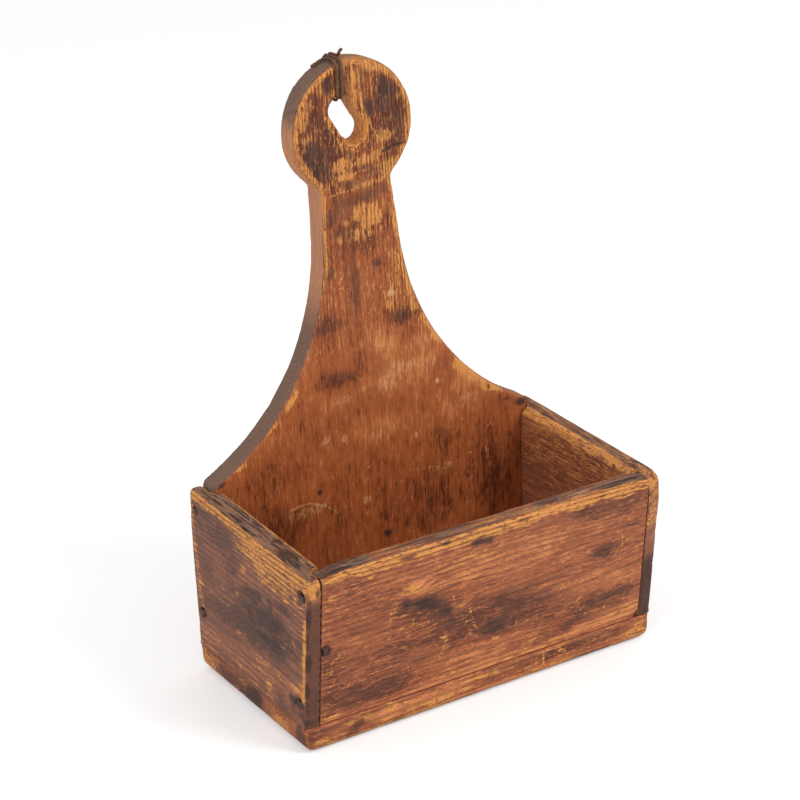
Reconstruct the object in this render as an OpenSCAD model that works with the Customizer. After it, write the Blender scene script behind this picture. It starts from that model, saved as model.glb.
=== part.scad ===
// Antique wall-hanging candle box: six pine boards' worth of plain joinery,
// open at the top, with a round-headed back board that hangs on the wall.
// Millimetres. +X is to the right and -Y is the front, seen from the front,
// +Z is up. The origin is the middle of the underside that the box stands on.

/* [Box] */

// Width across the outer faces of the two sides
box_w = 305; // [250:1:360]
// Depth at the seam with the bottom board, front face to back face
box_d = 163; // [130:1:210]
// Height of the front board above the bottom board
front_h = 124; // [95:1:150]
// Height of the sides at the back, above the bottom board
side_back_h = 131; // [95:1:155]
// How far the front leans out over its height
front_lean = 16.5; // [0:0.5:30]

/* [Boards] */

// Thickness of the side boards
side_t = 20.5; // [18:0.5:26]
// Thickness of the back board
back_t = 20.5; // [16:0.5:26]
// Thickness of the front board, square to its face
front_t = 16; // [12:0.5:22]
// Thickness of the bottom board
bottom_t = 20.5; // [14:0.5:28]
// Side wood left outside each rabbet
lip_t = 12; // [8:0.5:14]
// Gap that shrinkage has opened at each end of the front and back boards
shrink_gap = 0.2; // [0.05:0.05:0.5]

/* [Back board crest] */

// Radius of the round head
head_r = 51.2; // [42:0.1:60]
// Height of the head's centre above the underside
head_z = 401.7; // [385:0.1:425]
// Sideways place of the head's centre, off the middle where the saw wandered
head_x = -6; // [-10:0.5:6]
// Half width of the hanging hole, which is cut oblong and on a slant
hole_r = 10.2; // [7:0.1:13]
// Sideways place of the hole's upper end from the head's centre
hole_dx = -8.9; // [-12:0.1:6]
// Height of the hole's upper end above the head's centre
hole_dz = 14.4; // [8:0.1:18]
// Distance from the centre of the hole's upper end to that of its lower end
hole_run = 20; // [8:0.5:26]
// Slant of the hole from upright, degrees
hole_lean = 30; // [0:0.5:45]
// Where the left flare leaves the neck: distance left of the middle
neck_l = 37.4; // [30:0.1:42]
// Where the right flare leaves the neck: distance right of the middle
neck_r = 31.1; // [26:0.1:38]
// Height of the left flare's start above the bottom board
flare_l_h = 297; // [285:0.5:305]
// Height of the right flare's start above the bottom board
flare_r_h = 289.5; // [280:0.5:300]
// Inward lean of the neck's left edge, degrees
neck_l_lean = 0.65; // [0:0.05:3]
// Inward lean of the neck's right edge, degrees
neck_r_lean = 7.06; // [2:0.02:9]
// How far the left shoulder stands above the side's top
shoulder_l = 1.2; // [0:0.1:6]
// How far the right shoulder stands above the side's top
shoulder_r = 4.5; // [0:0.1:8]

/* [Worn edges] */

// Rounding of the front board's top edge, outside
front_top_wear = 6; // [1:0.5:9]
// Rounding of the sides' top edges, outside
side_top_wear = 4.5; // [1:0.5:7]
// Rounding of the front board's inner top edge
inner_wear = 1.5; // [0.5:0.5:4]
// Bevel worn along the left side's inner top edge
bevel_l = 3; // [0.5:0.5:6]
// Bevel worn along the right side's inner top edge
bevel_r = 6; // [0.5:0.5:8]
// Rounding of the sides' upright edges
upright_wear = 3; // [1:0.5:6]
// Rounding of the bottom board's lower edges along the front and back
foot_wear = 6; // [2:0.5:9]
// Rounding of the bottom board's lower edges at its ends
foot_end_wear = 10; // [3:0.5:12]
// Rounding of the bottom board's upright corners
foot_corner = 5; // [3:0.5:14]
// Bevel worn along the crest's edges, front and back
crest_wear = 2; // [0.5:0.1:4]
// Bevel worn round the hanging hole's rims
hole_wear = 1.6; // [0.4:0.1:2.5]

/* [Cut nails] */

// Long side of a nail's head
nail_head_l = 7; // [4:0.5:9]
// Short side of a nail's head
nail_head_w = 4.6; // [3:0.2:6]
// Thickness of a nail's head
nail_head_t = 1.8; // [1:0.1:3]
// Thickness of the sheared plate that the nails are cut from
nail_t = 2.6; // [1.6:0.1:3.2]
// Width of a nail's shank under its head
nail_w = 4; // [2.6:0.1:4.6]
// Width of a nail's blunt point
nail_point = 1.2; // [0.6:0.1:2]
// Length of the nails in the sides and front
nail_len = 42; // [32:1:50]
// Length of the nails driven up through the bottom board
floor_nail_len = 46; // [36:1:60]
// Height of the lower side nails above the bottom board
nail_low = 19; // [12:0.5:28]
// Drop of the upper side nails below the boards' top
nail_top_drop = 17; // [12:0.5:28]
// Height of the lower back nails above the bottom board
back_nail_low = 30; // [20:0.5:40]
// Height of the nail in the front's left end above the bottom board
front_nail_h = 62; // [45:0.5:75]
// Distance of the outermost floor nails from the box's corners
floor_nail_in = 50; // [40:1:70]

/* [Hanging lace] */

// Width of the leather lace
lace_w = 2.9; // [2:0.1:3.2]
// Thickness of the leather lace
lace_t = 2.1; // [1.4:0.1:2.6]
// Sideways step from one turn of the lace to the next
lace_pitch = 3.7; // [3.6:0.1:6]
// Sideways place of the lace from the centre of the hole's upper end
lace_dx = -1.4; // [-4:0.1:4]
// Air between the lace and the wood
lace_gap = 0.3; // [0.1:0.05:0.6]
// Length of the lace's end that lies along the head
lace_tail = 9; // [5:0.5:14]
// Length of the lace's end that stands up from the knot
lace_stub = 3.5; // [2:0.5:6]

/* [Hidden] */

$fn = 96;
eps = 0.01;
past = 1; // how far a cut runs past the face it opens

pine_back = [0.62, 0.33, 0.13];
pine_side = [0.45, 0.22, 0.1];
pine_front = [0.53, 0.25, 0.1];
pine_foot = [0.5, 0.24, 0.1];
iron = [0.13, 0.11, 0.1];
leather = [0.22, 0.13, 0.09];

seam_z = bottom_t;
front_y = -box_d / 2;
back_y = box_d / 2;
half_w = box_w / 2;
lean_a = atan(front_lean / front_h);
top_slope = atan((side_back_h - front_h) / (box_d + front_lean));
front_run = front_t / cos(lean_a); // the front's thickness along Y
rabbet_w = side_t - lip_t;
crest_half = half_w - lip_t - shrink_gap; // half of the back board's length between the lips

// y of the front face at a height above the bottom board
function face_y(h) = front_y - front_lean * h / front_h;
// height of the sides' top line over a place in the depth, above the bottom board
function top_h(y) = front_h + (y - face_y(front_h)) * tan(top_slope);
function unit(v) = v / norm(v);

// ---- profiles -------------------------------------------------------------

// The wood worn off a corner at c between the edges that run along u and v
module worn_corner(c, u, v, r) {
    half = acos(u * v) / 2;
    mid = unit(u + v);
    run = r / tan(half);
    ctr = c + mid * r / sin(half);
    difference() {
        polygon([c - mid * past, c + u * run - mid * past, c + u * run, ctr,
                 c + v * run, c + v * run - mid * past]);
        translate(ctr) circle(r);
    }
}

// The same off a square corner at the origin, with the wood towards +x and +y
module worn_square(r) {
    difference() {
        translate([-past, -past]) square(r + past);
        translate([r, r]) circle(r);
    }
}

// The box from the side in (y, height): square back, leaning front, top line
module box_section() {
    polygon([[face_y(0), 0], [back_y, 0], [back_y, side_back_h], [face_y(front_h), front_h]]);
}

// The slice of that section that the front board takes up, run past the
// section's outline on the three open sides
module front_slice() {
    low = -past;
    high = front_h + head_r;
    polygon([[face_y(low) - past, low], [face_y(low) + front_run, low],
             [face_y(high) + front_run, high], [face_y(high) - past, high]]);
}

module worn_front_top(r) {
    worn_corner([face_y(front_h), front_h], [cos(top_slope), sin(top_slope)],
                [sin(lean_a), -cos(lean_a)], r);
}

// Stands a (y, height) profile up on the seam and runs it along +X from x
module along_x(x, len) {
    translate([x, 0, seam_z]) rotate([90, 0, 90]) linear_extrude(len) children();
}

// Wood worn off a straight edge that runs along +Z from the origin; the wood
// lies on the +x and +y sides
module worn_edge(len, r) {
    linear_extrude(len) worn_square(r);
}

// The same for an edge worn to a bevel
module bevelled_edge(len, w) {
    linear_extrude(len) polygon([[-past, -past], [w + past, -past], [-past, w + past]]);
}

// A round board of thickness t about the origin, its two rims bevelled
module bevelled_disc(r, t, w) {
    rotate_extrude() polygon([[0, -t / 2], [r - w, -t / 2], [r, w - t / 2], [r, t / 2 - w],
                              [r - w, t / 2], [0, t / 2]]);
}

// What a round cut takes out of a board of thickness t, its rims bevelled
module bevelled_cut(r, t, w) {
    rotate_extrude() polygon([[0, -t / 2 - past], [r + w + past, -t / 2 - past], [r, w - t / 2],
                              [r, t / 2 - w], [r + w + past, t / 2 + past], [0, t / 2 + past]]);
}

// The same for a straight cut of half width h, run along -Y from the origin
module bevelled_slot(len, h, t, w) {
    rotate([90, 0, 0]) linear_extrude(len)
        polygon([for (side = [-1, 1]) each [
            [-side * (h + w + past), side * (t / 2 + past)], [side * (h + w + past), side * (t / 2 + past)],
            [side * h, side * (t / 2 - w)], [side * h, side * (w - t / 2)]]]);
}

// ---- nails ----------------------------------------------------------------

// A sheared nail, head up, its top face at z = 0 and its point down
module cut_nail(len) {
    translate([-nail_head_l / 2, -nail_head_w / 2, -nail_head_t])
        cube([nail_head_l, nail_head_w, nail_head_t]);
    translate([0, nail_t / 2, 0]) rotate([90, 0, 0]) linear_extrude(nail_t)
        polygon([[-nail_w / 2, -nail_head_t / 2], [nail_w / 2, -nail_head_t / 2],
                 [nail_point / 2, -len], [-nail_point / 2, -len]]);
}

// Centre line of the front board's thickness at a height above the bottom
function front_mid_y(h) = face_y(h) + front_run / 2;
back_mid_y = back_y - back_t / 2;

// Left-hand side nails, through the lips into the ends of the front and back
module front_side_nails() {
    for (h = [nail_low, front_h - nail_top_drop])
        translate([-half_w, front_mid_y(h), seam_z + h]) rotate([0, -90, 0]) rotate(90) cut_nail(nail_len);
}
module back_side_nails() {
    for (h = [back_nail_low, side_back_h - nail_top_drop])
        translate([-half_w, back_mid_y, seam_z + h]) rotate([0, -90, 0]) rotate(90) cut_nail(nail_len);
}
// The one nail through the front's left end into the side's shoulder
module corner_nail() {
    translate([-half_w + lip_t + rabbet_w / 2, face_y(front_nail_h), seam_z + front_nail_h])
        rotate([90 - lean_a, 0, 0]) rotate(90) cut_nail(nail_len);
}
// Nails up through the bottom board into the edges above it
module front_row() {
    for (x = [-1, 0, 1] * (half_w - floor_nail_in))
        translate([x, front_mid_y(0), 0]) rotate([180, 0, 0]) cut_nail(floor_nail_len);
}
module back_row() {
    for (x = [-1, 0, 1] * (half_w - floor_nail_in))
        translate([x, back_mid_y, 0]) rotate([180, 0, 0]) cut_nail(floor_nail_len);
}
module left_row() {
    for (y = [-1, 1] * (box_d / 2 - floor_nail_in))
        translate([-half_w + side_t / 2, y, 0]) rotate([180, 0, 90]) cut_nail(floor_nail_len);
}

// ---- boards ---------------------------------------------------------------

// A side before its rabbets are cut, its outer edges worn round and its inner
// top edge worn to a bevel
module side_blank(bevel) {
    difference() {
        along_x(-half_w, side_t) difference() {
            box_section();
            worn_front_top(front_top_wear);
            worn_corner([back_y, side_back_h], [0, -1], [-cos(top_slope), -sin(top_slope)], upright_wear);
        }
        // outer top edge, all along the slope
        translate([-half_w, face_y(front_h), seam_z + front_h])
            rotate([top_slope, 0, 0]) translate([0, -past, 0]) rotate([-90, 0, 0])
                worn_edge(box_d + front_lean + 2 * past, side_top_wear);
        // leaning front edge and upright back edge
        translate([-half_w, face_y(0), seam_z]) rotate([lean_a, 0, 0]) translate([0, 0, -past])
            worn_edge(front_h / cos(lean_a) + 2 * past, upright_wear);
        translate([-half_w, back_y, seam_z - past]) rotate(-90)
            worn_edge(side_back_h + 2 * past, upright_wear);
        // inner top edge
        translate([-half_w + side_t, face_y(front_h), seam_z + front_h])
            rotate([top_slope, 0, 0]) translate([0, -past, 0]) rotate([-90, 90, 0])
                bevelled_edge(box_d + front_lean + 2 * past, bevel);
    }
}

// The left-hand side, rabbeted for the front board and the back board
module side_board(bevel) {
    difference() {
        side_blank(bevel);
        along_x(-half_w + lip_t, side_t) front_slice();
        translate([-half_w + lip_t, back_y - back_t, seam_z - past])
            cube([side_t, back_t + past, side_back_h + 2 * past]);
        front_side_nails();
        back_side_nails();
        left_row();
    }
}

module left_side() {
    color(pine_side) difference() {
        side_board(bevel_l);
        corner_nail();
    }
}

module right_side() {
    color(pine_side) mirror([1, 0, 0]) side_board(bevel_r);
}

module front_board() {
    len = 2 * (half_w - lip_t - shrink_gap);
    color(pine_front) difference() {
        along_x(-len / 2, len) difference() {
            intersection() {
                box_section();
                front_slice();
            }
            worn_front_top(front_top_wear);
            worn_corner([face_y(front_h) + front_run, top_h(face_y(front_h) + front_run)],
                        [-cos(top_slope), -sin(top_slope)], [sin(lean_a), -cos(lean_a)], inner_wear);
        }
        front_side_nails();
        mirror([1, 0, 0]) front_side_nails();
        corner_nail();
        front_row();
    }
}

// Ends of the neck's straight edges, in (x, z)
flare_l = [-neck_l, seam_z + flare_l_h];
flare_r = [neck_r, seam_z + flare_r_h];
edge_l = [sin(neck_l_lean), cos(neck_l_lean)];  // up along the neck's left edge
edge_r = [-sin(neck_r_lean), cos(neck_r_lean)]; // up along its right edge
out_l = [-cos(neck_l_lean), sin(neck_l_lean)];
out_r = [cos(neck_r_lean), sin(neck_r_lean)];
shoulder_pt_l = [-crest_half, seam_z + side_back_h + shoulder_l];
shoulder_pt_r = [crest_half, seam_z + side_back_h + shoulder_r];
// Radius of the flare that leaves the neck smoothly and ends at the shoulder
function flare_radius(from, out, to) = (to - from) * (to - from) / (2 * (out * (to - from)));
r_l = flare_radius(flare_l, out_l, shoulder_pt_l);
r_r = flare_radius(flare_r, out_r, shoulder_pt_r);
ctr_l = flare_l + r_l * out_l;
ctr_r = flare_r + r_r * out_r;
head = [head_x, head_z];
// Where a line from p along d goes into the head's circle
function head_meet(p, d) =
    let (q = p - head, b = q * d, c = q * q - head_r * head_r) p + d * (-b - sqrt(b * b - c));
join_l = head_meet(flare_l, edge_l);
join_r = head_meet(flare_r, edge_r);

// The neck's edges stand this far outside the flares' ends, so that neck and
// flare meet at the slight corner that the saw leaves
flare_kink = 3;
function kink_step(r) = r * (1 - cos(flare_kink));
neck_from_l = flare_l + kink_step(r_l) * out_l;
neck_from_r = flare_r + kink_step(r_r) * out_r;
neck_foot = 25; // how far the neck's block reaches down into the foot
neck_up_l = norm(join_l - flare_l) + head_r / 4; // and up into the head, left
neck_up_r = norm(join_r - flare_r) + head_r / 4; // and right
neck_wear = crest_wear + 0.15; // a little more than on the curves it meets

// Lays a shape drawn in (x, z), and centred on its thickness, into the back board
module in_back() {
    translate([0, back_mid_y, 0]) rotate([90, 0, 0]) children();
}

// The wide foot, swept up towards the neck by two sawn flares
module crest_foot() {
    difference() {
        translate([0, 0, -back_t / 2]) linear_extrude(back_t)
            polygon([[-crest_half, seam_z], [crest_half, seam_z], [crest_half, flare_r[1]],
                     flare_r - [neck_r / 2, 0], flare_l + [neck_l / 2, 0], [-crest_half, flare_l[1]]]);
        translate(ctr_l) bevelled_cut(r_l, back_t, crest_wear);
        translate(ctr_r) bevelled_cut(r_r, back_t, crest_wear);
    }
}

// The neck, its edges bevelled on both faces
module crest_neck() {
    difference() {
        translate([0, 0, -back_t / 2]) linear_extrude(back_t)
            polygon([neck_from_l - edge_l * neck_foot, neck_from_r - edge_r * neck_foot,
                     neck_from_r + edge_r * neck_up_r, neck_from_l + edge_l * neck_up_l]);
        for (side = [0, 1]) mirror([0, 0, side]) {
            translate([neck_from_l[0], neck_from_l[1], -back_t / 2]) rotate(-neck_l_lean)
                translate([0, -neck_foot - past, 0]) rotate([-90, 0, 0]) mirror([0, 1, 0])
                    bevelled_edge(neck_foot + neck_up_l + 2 * past, neck_wear);
            translate([neck_from_r[0], neck_from_r[1], -back_t / 2]) rotate(neck_r_lean)
                translate([0, -neck_foot - past, 0]) mirror([1, 0, 0]) rotate([-90, 0, 0]) mirror([0, 1, 0])
                    bevelled_edge(neck_foot + neck_up_r + 2 * past, neck_wear);
        }
    }
}

// Centres of the hanging hole's round ends
hole_up = head + [hole_dx, hole_dz];
hole_low = hole_up + hole_run * [sin(hole_lean), -cos(hole_lean)];
hole_web = 0.5; // left of the wood between the ends, on each side
hole_web_wear = hole_wear + 0.2; // a little more than on the round ends it meets

// The crest with its hole: two round ends, then the wood between them
module crest() {
    difference() {
        difference() {
            difference() {
                union() {
                    crest_foot();
                    crest_neck();
                    translate(head) bevelled_disc(head_r, back_t, crest_wear);
                }
                translate(hole_up) bevelled_cut(hole_r, back_t, hole_wear);
            }
            translate(hole_low) bevelled_cut(hole_r, back_t, hole_wear);
        }
        translate(hole_up) rotate(hole_lean)
            bevelled_slot(hole_run, hole_r - hole_web, back_t, hole_web_wear);
    }
}

module back_board() {
    color(pine_back) difference() {
        in_back() crest();
        back_side_nails();
        mirror([1, 0, 0]) back_side_nails();
        back_row();
    }
}

module bottom_board() {
    color(pine_foot) difference() {
        translate([-half_w, front_y, 0]) cube([box_w, box_d, bottom_t]);
        for (sx = [0, 1]) mirror([sx, 0, 0]) {
            // upright corners
            translate([-half_w, front_y, -past]) worn_edge(bottom_t + 2 * past, foot_corner);
            translate([-half_w, back_y, -past]) rotate(-90) worn_edge(bottom_t + 2 * past, foot_corner);
            // lower edges at the ends
            translate([-half_w, front_y - past, 0]) rotate([-90, -90, 0])
                worn_edge(box_d + 2 * past, foot_end_wear);
        }
        // lower edges along the front and back
        for (sy = [0, 1]) mirror([0, sy, 0])
            translate([-half_w - past, front_y, 0]) rotate([90, 0, 90]) worn_edge(box_w + 2 * past, foot_wear);
        front_row();
        back_row();
        left_row();
        mirror([1, 0, 0]) left_row();
    }
}

// ---- nail groups ----------------------------------------------------------

module left_front_nails() { color(iron) front_side_nails(); }
module right_front_nails() { color(iron) mirror([1, 0, 0]) front_side_nails(); }
module left_back_nails() { color(iron) back_side_nails(); }
module right_back_nails() { color(iron) mirror([1, 0, 0]) back_side_nails(); }
module front_corner_nail() { color(iron) corner_nail(); }
module front_floor_nails() { color(iron) front_row(); }
module back_floor_nails() { color(iron) back_row(); }
module left_floor_nails() { color(iron) left_row(); }
module right_floor_nails() { color(iron) mirror([1, 0, 0]) left_row(); }

// ---- hanging lace ---------------------------------------------------------

// The bridge of wood between the hole and the head's top, over which the lace
// is wound twice: its middle in z and its half height, at a sideways place
lace_x = head_x + hole_dx + lace_dx;
// Highest wood of the head and lowest wood over the hole under a lap's width
function wood_top(x) = head_z + sqrt(head_r * head_r - pow(max(0, abs(x - head_x) - lace_w / 2), 2));
function hole_top(x) = head_z + hole_dz
    + sqrt(hole_r * hole_r - pow(abs(x - head_x - hole_dx) + lace_w / 2, 2));
off = lace_t / 2 + lace_gap;     // lace's centre line off the wood
bend = crest_wear + off;         // round the worn edges

// The winding goes down the front, through the hole and up the back, each turn
// one pitch further to the right; it moves over behind the head
turns = 2;
steps = 24; // stations in a turn
function drift(t) = let (u = t - floor(t)) floor(t) + max(0, 2 * u - 1) - 0.5;

// Station of the winding t turns from the top: its point on a rounded
// rectangle round the bridge of wood, and the direction away from the wood
function lace_station(t) =
    let (x = lace_x + lace_pitch * drift(t),
         top = wood_top(x) + off, low = hole_top(x) - off,
         half_y = back_t / 2 + off, half_z = (top + low) / 2 - low, mid_z = (top + low) / 2,
         c = cos(90 + 360 * t), s = sin(90 + 360 * t),
         k = min(half_y / max(abs(c), eps), half_z / max(abs(s), eps)),
         p = [k * c, k * s],
         nook = [sign(c) * (half_y - bend), sign(s) * (half_z - bend)],
         round = abs(p[0]) > half_y - bend && abs(p[1]) > half_z - bend,
         flat_top = abs(p[1]) > half_z - eps,
         out = round ? unit(p - nook) : flat_top ? [0, sign(s)] : [sign(c), 0],
         q = round ? nook + out * bend : p)
    [[x, back_mid_y + q[0], mid_z + q[1]], [0, out[0], out[1]]];

// Start of the lace: lies along the top of the head, coming in from the left
hook_x = lace_x - lace_pitch / 2 - bend;
function on_head(x) = head_z + sqrt(pow(head_r + off, 2) - pow(x - head_x, 2));
function head_out(x) = unit([x - head_x, 0, on_head(x) - head_z]);
function tail_station(d) = [[hook_x - d, back_mid_y + bend, on_head(hook_x - d)], head_out(hook_x - d)];

// The turn from the tail into the first lap, a quarter circle on the head's top
function hook_station(a) =
    let (x = hook_x + bend * sin(a), k = a / 90)
    [[x, back_mid_y + bend * cos(a), (1 - k) * on_head(x) + k * (wood_top(x) + off)],
     unit((1 - k) * head_out(x) + k * [0, 0, 1])];

// End of the lace: curls up off the last lap and stands free
function stub_station(a) =
    let (last = lace_station(turns)[0])
    [last + [0, -bend * sin(a), bend * (1 - cos(a))], [0, sin(a), cos(a)]];

lace_route = concat(
    [for (d = [lace_tail : -lace_tail / 4 : lace_tail / 8]) tail_station(d)],
    [for (a = [0 : 22.5 : 67.5]) hook_station(a)],
    [for (i = [0 : turns * steps]) lace_station(i / steps)],
    [for (a = [22.5 : 22.5 : 67.5]) stub_station(a)],
    [let (tip = stub_station(67.5)) [tip[0] + [0.4, -0.4, 1] * lace_stub, tip[1]]]);

module hanging_lace() {
    color(leather) lace_tube([for (st = lace_route) st[0]], [for (st = lace_route) st[1]]);
}

// An eight-sided strap swept along points, flat towards the wood
module lace_tube(pts, outs) {
    n = len(pts);
    sides = 8;
    dirs = [for (i = [0 : n - 1]) unit(pts[min(i + 1, n - 1)] - pts[max(i - 1, 0)])];
    ring = [for (i = [0 : n - 1])
        let (b = unit(cross(outs[i], dirs[i])), o = cross(dirs[i], b))
        [for (j = [0 : sides - 1])
            let (a = 360 * (j + 0.5) / sides)
            pts[i] + b * cos(a) * lace_w / 2 / cos(22.5) * 0.98 + o * sin(a) * lace_t / 2 / cos(22.5) * 0.98]];
    flat = [for (r = ring) for (p = r) p];
    polyhedron(flat, concat(
        [[for (j = [0 : sides - 1]) j]],
        [[for (j = [sides - 1 : -1 : 0]) (n - 1) * sides + j]],
        [for (i = [0 : n - 2]) for (j = [0 : sides - 1])
            let (k = (j + 1) % sides) each [
                [i * sides + j, (i + 1) * sides + j, (i + 1) * sides + k],
                [i * sides + j, (i + 1) * sides + k, i * sides + k]]]));
}

// Least gap between the lace's neighbouring laps
function lap_gap() = min([for (i = [0 : steps]) for (j = [steps : turns * steps])
    if (j - i > steps / 3) norm(lace_station(i / steps)[0] - lace_station(j / steps)[0])]) - lace_w;
echo(lace_lap_gap = lap_gap());

back_board();
left_side();
right_side();
front_board();
bottom_board();
left_front_nails();
right_front_nails();
left_back_nails();
right_back_nails();
front_corner_nail();
front_floor_nails();
back_floor_nails();
left_floor_nails();
right_floor_nails();
hanging_lace();
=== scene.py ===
"""Dresses the antique hanging candle box: worn pine boards, cut nails and a leather lace."""
import math
from functools import partial
from types import SimpleNamespace
import bmesh
import bpy
import numpy as np
from mathutils import Matrix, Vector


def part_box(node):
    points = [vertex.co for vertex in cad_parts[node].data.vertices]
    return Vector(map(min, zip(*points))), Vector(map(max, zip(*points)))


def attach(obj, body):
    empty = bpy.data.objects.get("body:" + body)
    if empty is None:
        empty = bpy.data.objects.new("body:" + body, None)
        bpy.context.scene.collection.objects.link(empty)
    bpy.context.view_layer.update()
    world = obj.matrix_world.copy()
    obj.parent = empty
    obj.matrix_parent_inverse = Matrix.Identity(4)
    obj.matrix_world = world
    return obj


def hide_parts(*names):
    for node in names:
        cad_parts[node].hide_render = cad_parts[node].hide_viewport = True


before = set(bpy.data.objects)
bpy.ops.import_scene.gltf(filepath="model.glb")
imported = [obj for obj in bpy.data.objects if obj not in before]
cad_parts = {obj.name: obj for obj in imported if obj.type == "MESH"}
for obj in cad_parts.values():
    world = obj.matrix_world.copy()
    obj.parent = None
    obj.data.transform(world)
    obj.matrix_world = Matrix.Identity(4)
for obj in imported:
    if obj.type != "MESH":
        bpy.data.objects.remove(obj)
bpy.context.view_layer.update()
MM = 0.001

# ---- camera
# Solved from the box's own corners in the photograph: rows are right, down and forward
VIEW_ROWS = ((0.848666, -0.527256, -0.042040),
             (-0.231512, -0.298822, -0.925801),
             (0.475571, 0.795429, -0.375666))
VIEW_FROM = (-0.8161, -1.3420, 0.8452)
LENS_MM = 104.1


def make_camera():
    right, down, ahead = VIEW_ROWS
    data = bpy.data.cameras.new("photo_view")
    data.sensor_width = 36.0
    data.lens = LENS_MM
    data.clip_start, data.clip_end = 0.05, 40.0
    cam = bpy.data.objects.new("photo_view", data)
    cam.matrix_world = Matrix([[right[i], -down[i], -ahead[i], VIEW_FROM[i]] for i in range(3)]
                              + [[0, 0, 0, 1]])
    bpy.context.collection.objects.link(cam)
    bpy.context.scene.camera = cam


make_camera()


# ---- noise and soft shapes on arrays of points

def smooth(lo, hi, x):
    t = np.clip((x - lo) / (hi - lo), 0, 1)
    return t * t * (3 - 2 * t)


def lattice(ix, iy, iz, seed):
    h = (ix.astype(np.uint32) * np.uint32(374761393) + iy.astype(np.uint32) * np.uint32(668265263)
         + iz.astype(np.uint32) * np.uint32(2246822519) + np.uint32(seed * 3266489917 % 4294967296))
    h = (h ^ (h >> np.uint32(13))) * np.uint32(1274126177)
    h = (h ^ (h >> np.uint32(15))) * np.uint32(2654435761)
    return ((h >> np.uint32(8)) & np.uint32(0xFFFFFF)).astype(float) / 0xFFFFFF


def noise(p, size, seed=0, octaves=1):
    """Value noise from 0 to 1 at points p, with cells of the given size in each direction."""
    total, weight, out = 0.0, 1.0, np.zeros(len(p))
    q = p / np.asarray(size, float)
    for k in range(octaves):
        cell = np.floor(q).astype(np.int64)
        f = q - cell
        f = f * f * (3 - 2 * f)
        acc = np.zeros(len(p))
        for dx in (0, 1):
            for dy in (0, 1):
                for dz in (0, 1):
                    w = ((f[:, 0] if dx else 1 - f[:, 0]) * (f[:, 1] if dy else 1 - f[:, 1])
                         * (f[:, 2] if dz else 1 - f[:, 2]))
                    acc += w * lattice(cell[:, 0] + dx, cell[:, 1] + dy, cell[:, 2] + dz, seed + 17 * k)
        out += weight * acc
        total += weight
        weight *= 0.5
        q = q * 2.03 + 11.7
    return out / total


def blob(u, v, mark, ragged):
    """1 inside an ellipse (u0, v0, ru, rv, amount, degrees), 0 outside, with a soft ragged border.
    The tilt in degrees may be left out, and the amount is read by the callers."""
    u0, v0, ru, rv = mark[:4]
    a = math.radians(mark[5]) if len(mark) > 5 else 0.0
    du, dv = u - u0, v - v0
    s = (du * math.cos(a) + dv * math.sin(a)) / ru
    t = (dv * math.cos(a) - du * math.sin(a)) / rv
    return 1 - smooth(0.3, 1.45, np.sqrt(s * s + t * t) + ragged)


def stroke(u, v, mark):
    """1 on a straight scratch (u0, v0, u1, v1, width, amount), 0 off it; its ends taper."""
    u0, v0, u1, v1, w = mark[:5]
    d = np.array([u1 - u0, v1 - v0], float)
    t = np.clip(((u - u0) * d[0] + (v - v0) * d[1]) / (d @ d), 0, 1)
    away = np.hypot(u - u0 - t * d[0], v - v0 - t * d[1])
    taper = 0.55 + 0.45 * np.sin(math.pi * t)
    return 1 - smooth(0.2, 1.0, away / (1.4 * w * taper))


# ---- meshes

def node_copy(name, nodes, voxel_mm):
    """An evenly quadded copy of CAD nodes, whose arrises come out slightly soft."""
    bm = bmesh.new()
    for n in nodes:
        bm.from_mesh(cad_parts[n].data)
    raw = bpy.data.meshes.new(name + "_raw")
    bm.to_mesh(raw)
    bm.free()
    ob = bpy.data.objects.new(name, raw)
    bpy.context.collection.objects.link(ob)
    mod = ob.modifiers.new("even", "REMESH")
    mod.mode = "VOXEL"
    mod.voxel_size = voxel_mm * MM
    even = bpy.data.meshes.new_from_object(ob.evaluated_get(bpy.context.evaluated_depsgraph_get()))
    ob.modifiers.clear()
    ob.data = even
    bpy.data.meshes.remove(raw)
    return ob


def read(ob):
    me = ob.data
    co = np.empty(len(me.vertices) * 3)
    me.vertices.foreach_get("co", co)
    no = np.empty(len(me.vertices) * 3, np.float32)
    me.vertex_normals.foreach_get("vector", no)
    ed = np.empty(len(me.edges) * 2, np.int32)
    me.edges.foreach_get("vertices", ed)
    return co.reshape(-1, 3) / MM, no.reshape(-1, 3).astype(float), ed.reshape(-1, 2)


def spread(values, edges, rounds):
    """Averages values with their neighbours along the mesh's edges."""
    n = len(values)
    degree = np.bincount(edges.ravel(), minlength=n)
    s = values.copy()
    for _ in range(rounds):
        acc = np.stack([np.bincount(edges[:, 0], s[edges[:, 1], k], n)
                        + np.bincount(edges[:, 1], s[edges[:, 0], k], n)
                        for k in range(s.shape[1])], 1)
        s = (s + acc / degree[:, None]) / 2
    return s


def rub_down(co, no, flowed, where):
    """Lets the surface flow, so that outer arrises come out round; hollows stay."""
    lifted = ((co - flowed) * no).sum(1)
    return co + (flowed - co) * (where * smooth(0.02, 0.2, lifted))[:, None]


def write(ob, co, lo, hi, marks):
    """Puts the worked points back, kept inside the CAD box, with the marks as attributes."""
    me = ob.data
    co = np.clip(co * MM, lo, hi)
    me.vertices.foreach_set("co", co.ravel())
    for key, values in marks.items():
        layer = me.attributes.new(key, "FLOAT", "POINT")
        layer.data.foreach_set("value", values.astype(np.float32))
    me.polygons.foreach_set("use_smooth", np.ones(len(me.polygons), bool))
    me.update()


def box_of(node):
    lo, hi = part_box(node)
    return np.array(lo), np.array(hi)


# ---- shader building

def rgb(*seen):
    """A colour as the eye sees it, three numbers up to 255, as a scene-linear colour."""
    return tuple(((c / 255 + 0.055) / 1.055) ** 2.4 for c in seen) + (1.0,)


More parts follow.
